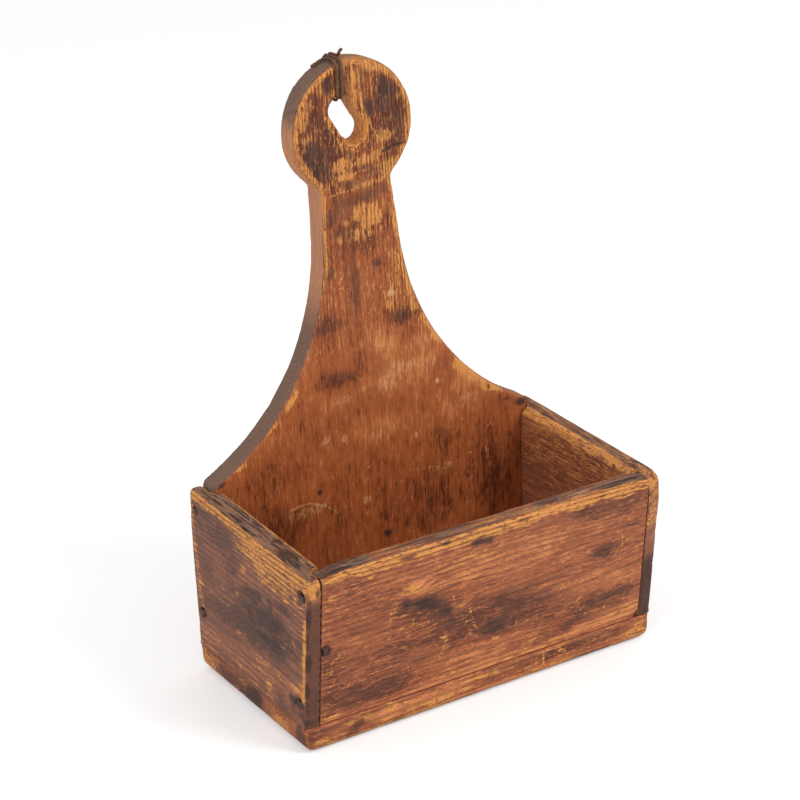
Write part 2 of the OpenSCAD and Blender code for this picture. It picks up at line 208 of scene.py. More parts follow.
class Net:
    """Small helper that wires the nodes of a material or of the world."""

    def __init__(self, owner):
        owner.use_nodes = True
        self.owner = owner
        self.tree = owner.node_tree
        self.tree.nodes.clear()

    def put(self, socket, value):
        if isinstance(value, bpy.types.NodeSocket):
            self.tree.links.new(value, socket)
        else:
            socket.default_value = value

    def node(self, kind, **props):
        n = self.tree.nodes.new("ShaderNode" + kind)
        for k, v in props.items():
            setattr(n, k, v)
        return n

    def stretch(self, vector, scale, shift=(0, 0, 0)):
        n = self.node("Mapping")
        self.put(n.inputs["Vector"], vector)
        n.inputs["Scale"].default_value = scale
        n.inputs["Location"].default_value = shift
        return n.outputs[0]

    def coords(self):
        """The piece's own coordinates in millimetres."""
        return self.stretch(self.node("TexCoord").outputs["Object"], (1000, 1000, 1000))

    def attribute(self, name):
        return self.node("Attribute", attribute_name=name).outputs["Fac"]

    def ray(self, kind):
        return self.node("LightPath").outputs[kind]

    def math(self, op, a, b=0.0):
        n = self.node("Math", operation=op)
        self.put(n.inputs[0], a)
        self.put(n.inputs[1], b)
        return n.outputs[0]

    def add(self, *parts):
        total = parts[0]
        for p in parts[1:]:
            total = self.math("ADD", total, p)
        return total

    def times(self, a, b):
        return self.math("MULTIPLY", a, b)

    def weigh(self, *pairs):
        """The sum of pairs (value, weight)."""
        return self.add(*[self.times(x, w) for x, w in pairs])

    def swing(self, *pairs):
        """The same, with each value taken from its middle, 0.5."""
        return self.weigh(*[(self.add(x, -0.5), w) for x, w in pairs])

    def noise(self, vector, detail=3.0, rough=0.55, warp=0.0, span=(0.3, 0.7)):
        """Noise with one cell to the unit, spread so that it fills 0 to 1."""
        n = self.node("TexNoise")
        self.put(n.inputs["Vector"], vector)
        n.inputs["Scale"].default_value = 1.0
        n.inputs["Detail"].default_value = detail
        n.inputs["Roughness"].default_value = rough
        n.inputs["Distortion"].default_value = warp
        return self.ramp(n.outputs[0], *span, smoothly=False)

    def ramp(self, x, lo, hi, smoothly=True, to=(0.0, 1.0)):
        n = self.node("MapRange", clamp=True, interpolation_type="SMOOTHSTEP" if smoothly else "LINEAR")
        self.put(n.inputs["Value"], x)
        n.inputs["From Min"].default_value = lo
        n.inputs["From Max"].default_value = hi
        n.inputs["To Min"].default_value = to[0]
        n.inputs["To Max"].default_value = to[1]
        return n.outputs[0]

    def mix(self, fac, a, b):
        n = self.node("Mix", data_type="RGBA")
        self.put(n.inputs[0], fac)
        self.put(n.inputs[6], a)
        self.put(n.inputs[7], b)
        return n.outputs[2]

    def close(self, output, shader):
        """Ends the net in its output node."""
        self.put(self.node(output).inputs[0], shader)
        return self.owner


class Surface(Net):
    """A material with one principled shader."""

    def __init__(self, name):
        super().__init__(bpy.data.materials.new(name))
        self.shader = self.node("BsdfPrincipled")
        self.sockets = self.shader.inputs

    def bump(self, height, distance_mm, strength):
        n = self.node("Bump")
        n.inputs["Strength"].default_value = strength
        n.inputs["Distance"].default_value = distance_mm * MM
        self.put(n.inputs["Height"], height)
        return n.outputs[0]

    def finish(self, colour, roughness, relief):
        self.put(self.sockets["Base Color"], colour)
        self.put(self.sockets["Roughness"], roughness)
        self.put(self.sockets["Normal"], relief)
        return self.close("OutputMaterial", self.shader.outputs[0])


def along(axis, across, length):
    """Scale for grain that runs along one axis, with cells of this width and length."""
    cells = [1 / across] * 3
    cells["XYZ".index(axis)] = 1 / length
    return tuple(cells)


# What a worked board tells its material at each point
MARKS = ("wear", "dark", "grey", "dust", "ring", "line", "tone")


def pine_grain(n, axis, shift, fine, ring_mm):
    """What the layers of old pine share: noise from single hairs up to board-wide clouds, growth
    rings, splits, and the marks. Hairs, rings and splits are faint where the mark line is low."""
    p = n.stretch(n.coords(), (1, 1, 1), shift)
    g = SimpleNamespace(**{name: n.attribute(name) for name in MARKS})

    def strands(across, length, *how, at=(0, 0, 0)):
        return n.noise(n.stretch(p, along(axis, across, length), at), *how)

    calm = n.ramp(g.line, 0.0, 0.5, to=(0.35, 1.0))

    def calmed(field):
        return n.add(n.times(n.add(field, -0.5), calm), 0.5)

    g.hair = calmed(strands(0.8 * fine, 9, 2.0, 0.65, 0.0, (0.34, 0.66)))
    g.fibre = calmed(strands(1.5 * fine, 22, 3.0, 0.65, 0.2, (0.33, 0.67)))
    g.fleck = calmed(strands(1.4 * fine, 4.6, 3.0, 0.75, 0.4, (0.34, 0.66)))
    g.streak = strands(3.4, 64, 3.0, 0.55, 0.3)
    g.mottle = strands(5.5, 13, 5.0, 0.66, 0.5)
    g.cloud = strands(34, 60, 4.0, 0.55, 0.4)
    g.grit = strands(1.1, 1.7, 2.0, 0.75)
    # each growth ring fades up to a dark line and stops short
    turn = n.math("FRACT", n.weigh((g.ring, 1 / ring_mm), (g.streak, 0.3)))
    late = n.times(n.ramp(turn, 0.35, 0.88), n.ramp(turn, 0.92, 1.0, to=(1.0, 0.0)))
    late = n.times(late, n.ramp(n.add(g.cloud, n.times(g.mottle, 0.5)), 0.3, 1.0, to=(0.25, 1.0)))
    g.late = n.times(late, g.line)
    split = n.ramp(strands(2.0, 30, 3.0, 0.65, 0.5, at=(3, 8, 5)), 0.5, 0.66)
    g.split = n.times(n.times(split, n.ramp(g.grey, 0.25, 0.7)), n.ramp(g.line, 0.3, 0.6))
    # how the grain breaks up the edge of anything laid on it
    g.ragged = n.swing((g.hair, 0.3), (g.fibre, 0.46), (g.fleck, 0.5), (g.mottle, 0.34))
    return g


def pine_stain(n, g, stain, ring_show):
    """The stain, uneven from board-wide clouds down to single fibres."""
    deep, mid, light = stain
    tone = n.add(n.weigh((g.cloud, 0.2), (g.mottle, 0.2), (g.fibre, 0.24), (g.streak, 0.1), (g.hair, 0.16),
                         (g.fleck, 0.2)), g.tone)
    col = n.mix(n.ramp(tone, 0.24, 0.56), deep, mid)
    col = n.mix(n.ramp(tone, 0.54, 0.86), col, light)
    col = n.mix(n.times(g.late, ring_show), col, deep)
    # flecks where the stain is rubbed thin, and others where it has pooled
    rub = n.ramp(n.weigh((g.fleck, 0.5), (g.mottle, 0.3), (g.hair, 0.2)), 0.6, 0.85)
    col = n.mix(n.times(rub, 0.55), col, light)
    pool = n.ramp(n.weigh((g.fleck, 0.4), (g.fibre, 0.35), (g.mottle, 0.25)), 0.4, 0.16)
    return n.mix(n.times(pool, 0.55), col, deep)


def pine_bare(n, g, stain, bare):
    """Bare wood, with stain left in its rings and in short dashes."""
    deep, mid, _ = stain
    bone = n.mix(n.weigh((g.fibre, 0.4), (g.mottle, 0.35), (g.hair, 0.25)), *bare)
    bone = n.mix(n.times(g.late, 0.7), bone, deep)
    bone = n.mix(n.times(n.ramp(n.add(g.fleck, n.times(g.mottle, 0.4)), 0.66, 0.3), 0.65), bone, mid)
    dash = n.ramp(n.weigh((g.fleck, 0.5), (g.hair, 0.3), (g.mottle, 0.2)), 0.44, 0.28)
    return n.mix(n.times(dash, n.ramp(g.wear, 1.0, 0.6, to=(0.6, 0.9))), bone, deep)


def pine_film(n, g):
    """Weathered grey-brown film, paler and redder where the mark tone is high."""
    fibres = n.weigh((g.fibre, 0.5), (g.hair, 0.25), (g.fleck, 0.25))
    film = n.mix(fibres, rgb(82, 62, 52), rgb(146, 112, 92))
    film = n.mix(n.ramp(g.tone, 0.1, 0.7), film, rgb(186, 128, 94))
    return n.mix(n.times(g.late, 0.5), film, rgb(62, 47, 42))


def pine_grime_with_shade(n, g):
    """Brown grime that turns black where it lies thick; the dark marks also carry painted shade and shadow.
    """
    fibres = n.ramp(n.weigh((g.fibre, 0.5), (g.fleck, 0.3), (g.hair, 0.2)), 0.25, 0.8)
    grime = n.mix(fibres, rgb(46, 28, 23), rgb(126, 76, 55))
    return n.mix(n.times(n.ramp(n.add(g.dark, g.ragged), 0.9, 1.4), 0.9), grime, rgb(42, 32, 29))


def old_pine(name, axis, stain, bare, shift, ring_mm, ring_show, fine=1.0):
    """Stained pine worn back to the wood, with film, splits, dust, grime, painted shade and pores laid on it.
    """
    n = Surface(name)
    g = pine_grain(n, axis, shift, fine, ring_mm)
    worn = n.ramp(n.add(g.wear, g.ragged, n.times(g.late, -0.16)), 0.46, 0.64)
    col = n.mix(worn, pine_stain(n, g, stain, ring_show), pine_bare(n, g, stain, bare))
    filmed = n.ramp(n.add(g.grey, g.ragged), 0.36, 0.62)
    col = n.mix(filmed, col, pine_film(n, g))
    col = n.mix(n.times(g.split, 0.88), col, rgb(44, 32, 29))
    bloom = n.ramp(n.add(g.dust, n.times(g.ragged, 0.9), n.swing((g.grit, 0.3))), 0.3, 0.95)
    col = n.mix(n.times(bloom, 0.7), col, rgb(224, 172, 122))
    # grime, with the painted shade and shadow of the dark marks
    grime_shade_mask = n.ramp(n.add(g.dark, g.ragged, n.times(g.late, 0.1)), 0.42, 0.7)
    thick = n.ramp(g.dark, 0.25, 1.1, smoothly=False, to=(0.45, 0.92))
    col = n.mix(n.times(grime_shade_mask, thick), col, pine_grime_with_shade(n, g))
    pores = n.ramp(n.weigh((g.grit, 0.6), (g.fibre, 0.4)), 0.7, 0.9)
    col = n.mix(n.times(pores, 0.4), col, stain[0])

    rough = n.add(0.42, n.times(worn, 0.14), n.times(filmed, 0.16), n.times(g.fibre, 0.12),
                  n.times(g.mottle, 0.08))
    height = n.weigh((g.fibre, 0.45), (g.hair, 0.25), (g.late, 0.5), (g.streak, 0.25), (g.fleck, 0.35),
                     (pores, -0.5), (g.split, -1.2), (worn, -0.3))
    n.sockets["Specular IOR Level"].default_value = 0.3
    return n.finish(col, rough, n.bump(height, 0.42, 0.85))


def rusty_iron(name, dark=rgb(40, 33, 31), light=rgb(92, 78, 70)):
    n = Surface(name)
    p = n.coords()
    fine = n.noise(n.stretch(p, (2.2, 2.2, 2.2)), 4.0, 0.65)
    broad = n.noise(n.stretch(p, (0.55, 0.55, 0.55)), 3.0, 0.6, 0.5)
    col = n.mix(fine, dark, light)
    col = n.mix(n.times(n.ramp(broad, 0.45, 0.9), 0.6), col, rgb(96, 58, 38))
    n.sockets["Metallic"].default_value = 0.35
    return n.finish(col, n.add(0.5, n.times(fine, 0.3)), n.bump(n.add(fine, broad), 0.25, 0.8))


def dry_leather(name):
    n = Surface(name)
    p = n.coords()
    fine = n.noise(n.stretch(p, (2.6, 2.6, 0.5)), 4.0, 0.65, 0.4)
    broad = n.noise(n.stretch(p, (0.6, 0.6, 0.22)), 3.0, 0.6, 0.3)
    col = n.mix(fine, rgb(62, 38, 28), rgb(122, 84, 60))
    col = n.mix(n.times(n.ramp(broad, 0.5, 0.95), 0.7), col, rgb(146, 104, 74))
    n.sockets["Specular IOR Level"].default_value = 0.3
    return n.finish(col, n.add(0.55, n.times(fine, 0.25)), n.bump(n.add(fine, n.times(broad, 0.6)), 0.3, 0.9))


# ---- the boards

SEAM_Z = 20.5  # top of the bottom board
HALF_W = 152.5  # outer faces of the sides
JOINT_X = 140.4  # ends of the front board and of the back board
FACE_Y, BACK_Y = 61.0, 81.5  # the back board's two faces
FOOT_Y = -81.5  # the leaning front's face where it meets the bottom board
LEAN = 16.5 / 124  # how far it leans out for each unit of height
FRONT_N = np.array([0, -1, -LEAN]) / math.hypot(1, LEAN)
CORNER_Z = 145.2  # where the rounding of the sides' front top corners starts
NAIL_SINK = 1.1  # depth of the nail heads in the wood


def front_y(z):
    return FOOT_Y - LEAN * (z - SEAM_Z)


# Nail heads by board: the place of each, and how far it stains the wood
SIDE_NAILS = [(-86.6, 127.5, 6.5), (-74, 39.5, 6.5), (71.2, 50.5, 6)]
NAILS = {
    "left_side": [((-HALF_W, y, z), reach) for y, z, reach in SIDE_NAILS + [(71.2, 134.5, 4.5)]],
    "right_side": [((HALF_W, y, z), reach) for y, z, reach in SIDE_NAILS + [(71.2, 134.5, 5.5)]],
    "front_board": [((-136.3, -89.8, 82.5), 6)],
    "bottom_board": [((x, y, 0), 6) for x in (-102.5, 0, 102.5) for y in (-73.3, 71.2)]
                    + [((x, y, 0), 6) for x in (-142.2, 142.2) for y in (-31.5, 31.5)],
}


def nail_spot(co, board):
    """1 at a nail's head, falling to 0 in the stained wood round it."""
    spot = np.zeros(len(co))
    for place, reach in NAILS.get(board, ()):
        away = np.linalg.norm(co - np.array(place), axis=1) / reach
        spot = np.maximum(spot, 1 - smooth(0.45, 1.15, away + 0.3 * (noise(co, 3.0, 91) - 0.5)))
    return spot


class Face:
    """One face of a board, marked by (u, v) in millimetres; on is 1 at its own points."""

    def __init__(self, co, u, v, on):
        self.co, self.u, self.v, self.on = co, u, v, on

    def paint(self, field, marks, seed):
        """Raises a field inside ragged ellipses."""
        ragged = 1.5 * (noise(self.co, 8, seed, 4) - 0.5)
        for m in marks:
            field = np.maximum(field, min(1.3 * m[4], 1.25) * self.on * blob(self.u, self.v, m, ragged))
        return field

    def shade(self, marks, seed):
        """Sums wide soft ellipses into a lighter or darker tone."""
        ragged = 0.9 * (noise(self.co, 16, seed, 4) - 0.5)
        return sum(m[4] * self.on * blob(self.u, self.v, m, ragged) for m in marks)

    def scratch(self, field, marks):
        """Raises a field along thin strokes, which waver."""
        u = self.u + 2.4 * (noise(self.co, 9, 7, 2) - 0.5)
        v = self.v + 2.4 * (noise(self.co, 9, 8, 2) - 0.5)
        for m in marks:
            field = np.maximum(field, m[5] * self.on * stroke(u, v, m))
        return field


def small_scratches(count, box, seed):
    """Short scratches strewn over a face's box (u from, u to, v from, v to)."""
    rng = np.random.default_rng(seed)
    out = []
    for _ in range(count):
        u, v = rng.uniform(box[0], box[1]), rng.uniform(box[2], box[3])
        a, length = rng.uniform(-math.pi, math.pi), rng.uniform(2.5, 9)
        width, amount = rng.uniform(0.5, 0.8), rng.uniform(0.55, 0.85)
        out.append((u, v, u + length * math.cos(a), v + length * math.sin(a), width, amount))
    return out


def dress(board, node, voxel_mm, look, work):
    """Replaces one board by its worn, painted copy. work gets the points, their normals, the
    arrises, the wider bands beside them and the nail spots. It returns how deep each point is
    sunk, how far its arris is rubbed round, its MARKS in order and how far it is moved besides."""
    ob = node_copy(board, [node], voxel_mm)
    co, no, edges = read(ob)
    little = spread(co, edges, 14)
    much = spread(little, edges, 46)
    edge = np.clip(((co - little) * no).sum(1) / 1.3, 0, 1)
    near = np.clip(((co - much) * no).sum(1) / 2.6, 0, 1)
    spot = nail_spot(co, node)
    depth, soft, marks, moved = work(co, no, edge, near, spot)
    depth = np.maximum(depth, 0) + NAIL_SINK * smooth(0.3, 0.9, spot)
    worked = rub_down(co, no, much, soft) - no * depth[:, None] + moved
    write(ob, worked, *box_of(node), dict(zip(MARKS, marks)))
    ob.data.materials.append(look)
    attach(ob, "root")
    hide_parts(node)
    return ob


def chipping(co, edge, seed, keep):
    """Depth worn off the arrises: some everywhere, more where it is chipped."""
    wide = noise(co, 13, seed, 2)
    small = noise(co, 4.5, seed + 5, 2)
    return keep * edge * (0.35 + 1.5 * smooth(0.45, 0.85, wide) + 0.9 * smooth(0.55, 0.9, small))


def planing(co, cells, seed, amount):
    """Hollows of hand-planed, shrunk wood."""
    return amount * (1 - noise(co, cells, seed, 2))


def seam_guard(co, planes):
    """0 close to the joints named as (axis, place), 1 away from them: arrises there stay sharp."""
    keep = np.ones(len(co))
    for axis, place in planes:
        keep *= smooth(1.2, 5.0, np.abs(co[:, axis] - place))
    return keep


def joint_line(away):
    """1 in the dark line of a joint, 0 from about a millimetre off."""
    return 1 - smooth(0.0, 1.1, away)


def raised(ring, ring_mm, co, cells, seed):
    """1 on the raised lines of the growth rings, 0 between them."""
    return np.abs((ring / ring_mm + 0.15 * noise(co, cells, seed)) % 1 - 0.5) * 2


def pith_distance(across, deep, centre, behind, co, cells, seed, swing, knots=(), plane=None):
    """Distance from the log's pith, which the growth rings follow, swung by knots."""
    r = np.hypot(across - centre, deep + behind) + swing * (noise(co, cells, seed, 2) - 0.5)
    for ku, kv, ru, rv, push in knots:
        r = r + push * np.exp(-(((plane[0] - ku) / ru) ** 2 + ((plane[1] - kv) / rv) ** 2))
    return r


# -- back board: (x, z) on its front face

# The mark at (-24, 424.5) is painted shadow on the hanging hole's upper left rim.
BACK_DARK = [
    (25, 426, 12, 14, 0.74), (21, 428, 5, 12, 1), (8, 411, 5, 14, 1), (20, 414, 13, 9, 0.72),
    (33, 405, 9, 18, 0.56), (16, 424, 8, 6, 0.6), (30, 388, 8, 8, 0.45), (38, 418, 6, 10, 0.5),
    (-26, 437, 6, 10, 0.85, 10), (-24, 424.5, 5, 3.5, 1, 40), (-38, 388, 16, 10, 0.72, -14),
    (-34, 374, 13, 14, 0.62), (-47, 386, 6, 7, 0.95, -40), (-39, 373, 5, 6, 0.95, -40),
    (-44, 380, 8, 8, 0.8, -30), (-27, 403, 7, 2.4, 0.9), (-11, 386, 5, 8, 0.66), (5, 387, 7, 5, 0.55, 30),
    (-3, 349, 28, 6, 0.56), (-12, 360, 14, 5, 0.5), (8, 368, 12, 4, 0.5), (18, 352, 7, 7, 0.6),
    (-22, 325, 7, 6, 0.55), (-35, 321, 4, 11, 0.8), (-29, 337, 6, 9, 0.6), (28, 322, 4, 8, 0.56),
    (-33, 296, 6, 8, 0.66), (8, 296, 7, 4, 0.7), (-11, 282, 4, 26, 0.52), (26, 251, 11, 6, 0.5),
    (-35, 256, 14, 10, 0.5), (-30, 212, 24, 8, 0.42), (6, 212, 14, 7, 0.4), (60, 146, 8, 7, 0.45),
    (71, 192, 7, 8, 0.4), (-51, 125, 2.4, 2.8, 1), (6, 75, 4.4, 3.8, 1), (-14, 182, 2.4, 7, 0.6),
    (104, 174, 2, 3.4, 0.8), (-44, 440, 10, 4, 0.5, 30), (-37, 430, 6, 4, 0.5), (-50, 405, 5, 7, 0.45),
    (134, 154, 8, 4, 0.95), (120, 159, 6, 2.5, 0.7), (-134, 154, 7, 4, 0.8), (4, 442, 5, 9, 0.5),
    (17, 400, 6, 8, 0.42), (-30, 412, 7, 8, 0.42), (-20, 345, 6, 18, 0.5),
]
BACK_BROWN = [
    (-40, 415, 13, 18, 1), (-34, 382, 18, 20, 1), (28, 398, 12, 22, 0.9), (3, 438, 5, 13, 0.8),
    (-8, 372, 20, 8, 0.65), (4, 385, 16, 8, 0.5), (-6, 350, 30, 9, 0.8), (-29, 340, 9, 26, 0.9),
    (-12, 318, 24, 14, 0.7), (12, 314, 16, 14, 0.45),
]
BACK_WEAR = [
    (0, 334, 24, 10, 0.72), (-5, 322, 20, 8, 0.5), (28, 292, 7, 24, 0.5), (-38, 300, 6, 8, 0.8),
    (-42, 290, 5, 12, 0.7), (22, 270, 12, 18, 0.46), (86, 194, 20, 8, 0.72, -42),
    (54, 236, 20, 7, 0.72, -55), (106, 175, 14, 6, 0.7, -30), (-70, 205, 14, 3, 0.62, 50),
    (-95, 184, 16, 3, 0.62, 30), (-120, 163, 12, 3, 0.6, 12), (36, 268, 4, 26, 0.7, 12),
    (-35, 319, 3, 12, 0.7), (-2, 430, 9, 20, 0.75), (-9, 418, 5, 10, 0.8), (12, 445, 20, 6, 0.7),
    (-50, 420, 7, 16, 0.8, 10), (-34, 446, 12, 5, 0.8, 35), (2, 402, 7, 10, 0.75), (-44, 398, 8, 6, 0.55),
    (36, 375, 10, 8, 0.7, 40), (10, 378, 18, 5, 0.66, 10), (-14, 376, 14, 8, 0.6), (24, 368, 8, 10, 0.62),
    (0, 358, 20, 3.4, 0.62, 6), (-16, 366, 12, 4, 0.6), (42, 400, 6, 12, 0.7), (20, 392, 8, 6, 0.6),
]
# The tone at (108, 100) darkens the inside corner beside the right side: painted shade.
BACK_TONE = [
    (-6, 110, 110, 40, -0.06), (108, 100, 22, 60, -0.2), (-60, 225, 26, 14, 0.12, 45),
    (20, 205, 30, 14, 0.14), (70, 160, 30, 20, 0.08), (-30, 212, 26, 8, -0.18), (26, 251, 14, 8, -0.2),
    (-35, 256, 16, 12, -0.2), (88, 190, 24, 14, 0.22, -35), (56, 225, 16, 18, 0.18, -50),
    (-90, 150, 30, 16, -0.1), (0, 165, 30, 14, 0.1), (-100, 90, 30, 30, -0.12), (0, 270, 30, 26, 0.04),
    (-8, 318, 26, 14, -0.12), (-34, 405, 16, 24, -0.16), (28, 405, 14, 26, -0.18), (-36, 380, 18, 18, -0.2),
    (60, 146, 16, 14, -0.14), (30, 90, 40, 26, -0.08), (-46, 200, 14, 20, 0.1, 45), (10, 235, 20, 14, 0.1),
]
BACK_DUST = [
    (20, 270, 4, 3.4, 0.9), (57, 190, 1.6, 2.6, 1), (56, 177, 2.2, 1.6, 1), (36, 150, 1.4, 3.6, 1),
    (-45, 165, 7, 5, 0.6, 20), (-27, 163, 4, 4, 0.65), (-10, 108, 5, 5, 0.7, 40), (-62, 112, 20, 8, 0.5),
    (20, 205, 26, 9, 0.5, 20), (-56, 236, 8, 12, 0.4, 50), (40, 228, 14, 10, 0.4),
    (84, 168, 14, 8, 0.45, 20), (60, 118, 26, 5, 0.4), (-25, 195, 30, 6, 0.35, 10), (10, 160, 26, 10, 0.35),
    (50, 205, 12, 10, 0.35), (-90, 135, 16, 6, 0.3), (100, 120, 3, 6, 0.6), (-70, 158, 20, 5, 0.3),
    (3, 230, 16, 8, 0.35),
]
BACK_PALE_LINES = [
    (-20, 366.5, 22, 371, 0.9, 0.95), (-28, 354.5, -3, 357, 0.9, 0.95), (-30, 284, -13, 281, 0.7, 0.9),
    (-78, 117, -62, 119, 1.3, 0.8), (-62, 119, -48, 114, 1.3, 0.8), (-48, 114, -36, 104, 1.2, 0.8),
    (30, 121, 74, 119, 0.8, 0.6), (9, 423, 13, 414, 0.9, 0.8), (-16, 212, -10, 206, 0.8, 0.5),
    (30, 247, 40, 238, 0.8, 0.6), (-8, 100, -14, 112, 0.8, 0.6), (60, 240, 44, 262, 0.7, 0.5),
]
BACK_DARK_LINES = [
    (17, 380, 38, 383.5, 1.5, 1), (-13, 306, -13, 258, 1, 0.75), (-7, 300, -7, 246, 0.8, 0.6),
    (-17, 288, -17, 260, 0.8, 0.6), (-10, 274, -11, 240, 0.8, 0.55), (-31, 208, -31, 196, 0.8, 0.6),
    (-13, 186, -13, 168, 0.9, 0.7),
]
# Centres of the hanging hole's two round ends, in (x, z), and their radius
HOLE_UP, HOLE_LOW, HOLE_R = (-14.9, 416.1), (-4.9, 398.8), 10.2


def off_hole(x, z):
    """Distance in the board's plane from the hanging hole's rim."""
    (ax, az), (bx, bz) = HOLE_UP, HOLE_LOW
    d = np.array([bx - ax, bz - az])
    t = np.clip(((x - ax) * d[0] + (z - az) * d[1]) / (d @ d), 0, 1)
    return np.hypot(x - ax - t * d[0], z - az - t * d[1]) - HOLE_R


def back_fields(co, no, near):
    """The faces of the back board, and the uneven borders that its wear keeps to."""
    x, y, z = co.T
    front = smooth(0.35, 0.75, -no[:, 1])
    rough = noise(co, (6, 6, 14), 3, 3)
    jag = rough - 0.5
    hole = off_hole(x, z)
    rim = smooth(0.45, 0.75, np.hypot(no[:, 0], no[:, 2]))
    in_hole = smooth(3.0, 1.0, hole) * rim
    rim = rim * (1 - in_hole)
    return SimpleNamespace(
        x=x, y=y, z=z, rough=rough, jag=jag, fine=noise(co, (3, 3, 7), 4, 3),
        front=front, face=Face(co, x, z, front), rear=smooth(0.35, 0.75, no[:, 1]),
        hole=hole, in_hole=in_hole, rim=rim, left_rim=rim * smooth(0.0, 0.3, -no[:, 0]),
        high=smooth(235, 320, z + 60 * jag), on_head=smooth(345, 366, z + 30 * jag), border=near + 0.16 * jag)


def back_wear(co, f, edge, brown):
    wear = 0.1 + 0.16 * smooth(200, 260, f.z) + 0.12 * smooth(280, 330, f.z) + 0.1 * f.on_head
    wear = wear + 0.16 * (noise(co, (12, 12, 24), 5, 3) - 0.5)
    wear = wear * (1 - 0.3 * brown)
    wear = f.face.paint(wear, BACK_WEAR, 22)
    # a rubbed band inside the head's and the neck's outline
    wear = np.maximum(wear, 0.98 * f.high * smooth(0.04, 0.3, f.border) * smooth(2, 5, f.hole))
    wear = np.maximum(wear, edge * (0.3 + 0.7 * f.high))
    return wear * (1 - 0.6 * f.rear)


def back_dark(co, f, brown):
    dark = 0.04 + 0.16 * noise(co, (12, 12, 40), 31, 2) + 0.1 * brown + 0.13 * f.on_head + 0.06 * f.high
    dark = f.face.paint(dark, BACK_DARK, 23)
    dark = f.face.scratch(dark, BACK_DARK_LINES)
    dark = dark * (1 - 0.75 * f.high * smooth(0.05, 0.3, f.border))
    dark = np.maximum(dark, 1.2 * f.gash)
    # painted shadow of the right side, darkening the back board's inside corner along that shadow's sloping
    # top edge
    corner = f.front * smooth(84, 92, f.x + 5 * f.jag) * smooth(158, 150, f.z + 0.25 * (f.x - 100))
    return np.maximum(dark, 0.34 * corner)


def back_relief(co, no, f, edge, dark):
    """How deep the back board is worn, and how far its arrises are rubbed round."""
    depth = chipping(co, edge, 41, 0.75) + planing(co, (28, 28, 90), 42, 0.35)
    depth += 1.3 * f.gash
    depth += 0.6 * f.front * smooth(0.5, 0.8, dark) * noise(co, (3, 3, 5), 43)
    # the head's upper left arris is worn flat, and chipped
    flat = smooth(0.1, 0.6, edge) * smooth(0.15, 0.5, -no[:, 0]) * smooth(380, 400, f.z)
    depth += flat * (0.6 + 1.3 * smooth(0.45, 0.75, noise(co, (5, 5, 9), 45, 2)))
    soft = edge * (0.35 + 0.6 * smooth(0.3, 0.7, noise(co, 26, 46, 2)))
    soft = soft * (0.35 + 0.65 * smooth(165, 180, f.z))
    by_hole = smooth(6, 3, f.hole)
    return depth * (1 - 0.9 * by_hole), soft * (1 - by_hole)


def hole_fill(f):
    """The hole's far lower end is less wide than its near one."""
    below = np.arctan2(f.z - HOLE_LOW[1], f.x - HOLE_LOW[0])
    lift = -3.4 * smooth(7, 1, f.hole) * np.exp(-((below + 2.2) / 0.6) ** 2)
    lift = lift * smooth(FACE_Y + 1, FACE_Y + 11, f.y)
    return np.stack([lift * np.cos(below), np.zeros(len(below)), lift * np.sin(below)], 1)


def work_back(co, no, edge, near, spot):
    f = back_fields(co, no, near)
    f.gash = f.face.scratch(0, BACK_DARK_LINES[:1])
    brown = smooth(0, 1, f.face.paint(0, BACK_BROWN, 21))
    wear = back_wear(co, f, edge, brown)
    dark = back_dark(co, f, brown)
    # a dark line along the left arris, on the flare and at the nick under the head
    arris = smooth(0.2, 0.7, edge) * smooth(0.15, 0.5, -no[:, 1]) * smooth(0, 0.3, -no[:, 0])
    arris = arris * (smooth(272, 248, f.z) + 0.8 * smooth(352, 340, f.z) * smooth(0.35, 0.6, f.fine))
    arris = np.minimum(arris, 1)
    dark = np.maximum(dark, 1.15 * arris * smooth(0.3, 0.6, f.rough))
    wear = wear * (1 - 0.6 * arris)
    # weathered rims, redder from the flare up to the head's lower half
    grey = f.left_rim * (0.97 - 0.45 * smooth(350, 362, f.z) * smooth(404, 380, f.z + 0.4 * f.x + 18))
    grey = np.maximum(grey, f.rim * (1 - f.left_rim) * 0.45)
    grey = np.maximum(grey, 0.35 * f.rear)
    wear = np.where(f.left_rim > 0.5, np.maximum(wear, 0.66), wear)
    wear = np.maximum(wear, f.in_hole * (0.8 + 0.3 * (f.fine - 0.5)))
    dark = dark * (1 - 0.6 * f.left_rim) * (1 - 0.7 * f.in_hole)
    # painted shadow on the hanging hole's upper left wall and rim
    dark = np.maximum(dark, 0.9 * smooth(4, 1, f.hole) * smooth(-16, -21, f.x) * smooth(410, 417, f.z))
    dust = 0.16 * f.front * smooth(240, 200, f.z) * noise(co, 26, 33, 3)
    dust = Face(co, f.x, f.z, f.front * 0.8).paint(dust, BACK_DUST, 24)
    worn_lines = BACK_PALE_LINES[:3] + small_scratches(46, (-45, 35, 250, 445), 12)
    wear = f.face.scratch(wear, worn_lines)
    dusty_lines = BACK_PALE_LINES[3:] + small_scratches(50, (-90, 110, 66, 235), 13)
    dust = f.face.scratch(dust, dusty_lines)
    line = 0.22 + 0.78 * np.maximum(smooth(225, 260, f.z), f.left_rim)
    line = (1 - 0.68 * f.rim - 0.6 * f.in_hole) * line
    tone = f.face.shade(BACK_TONE, 47) - 0.1 * f.on_head * f.front
    tone = tone + f.left_rim * (0.66 * smooth(225, 300, f.z) * smooth(425, 395, f.z + 0.4 * f.x + 18) - 0.04)
    ring = pith_distance(f.x, BACK_Y - f.y, -12, -4, co, (34, 34, 150), 44, 9.0)
    depth, soft = back_relief(co, no, f, edge, dark)
    return depth, soft, (wear, dark, grey, dust, ring, line, tone), hole_fill(f)


# -- front board: (x, z) on its leaning face

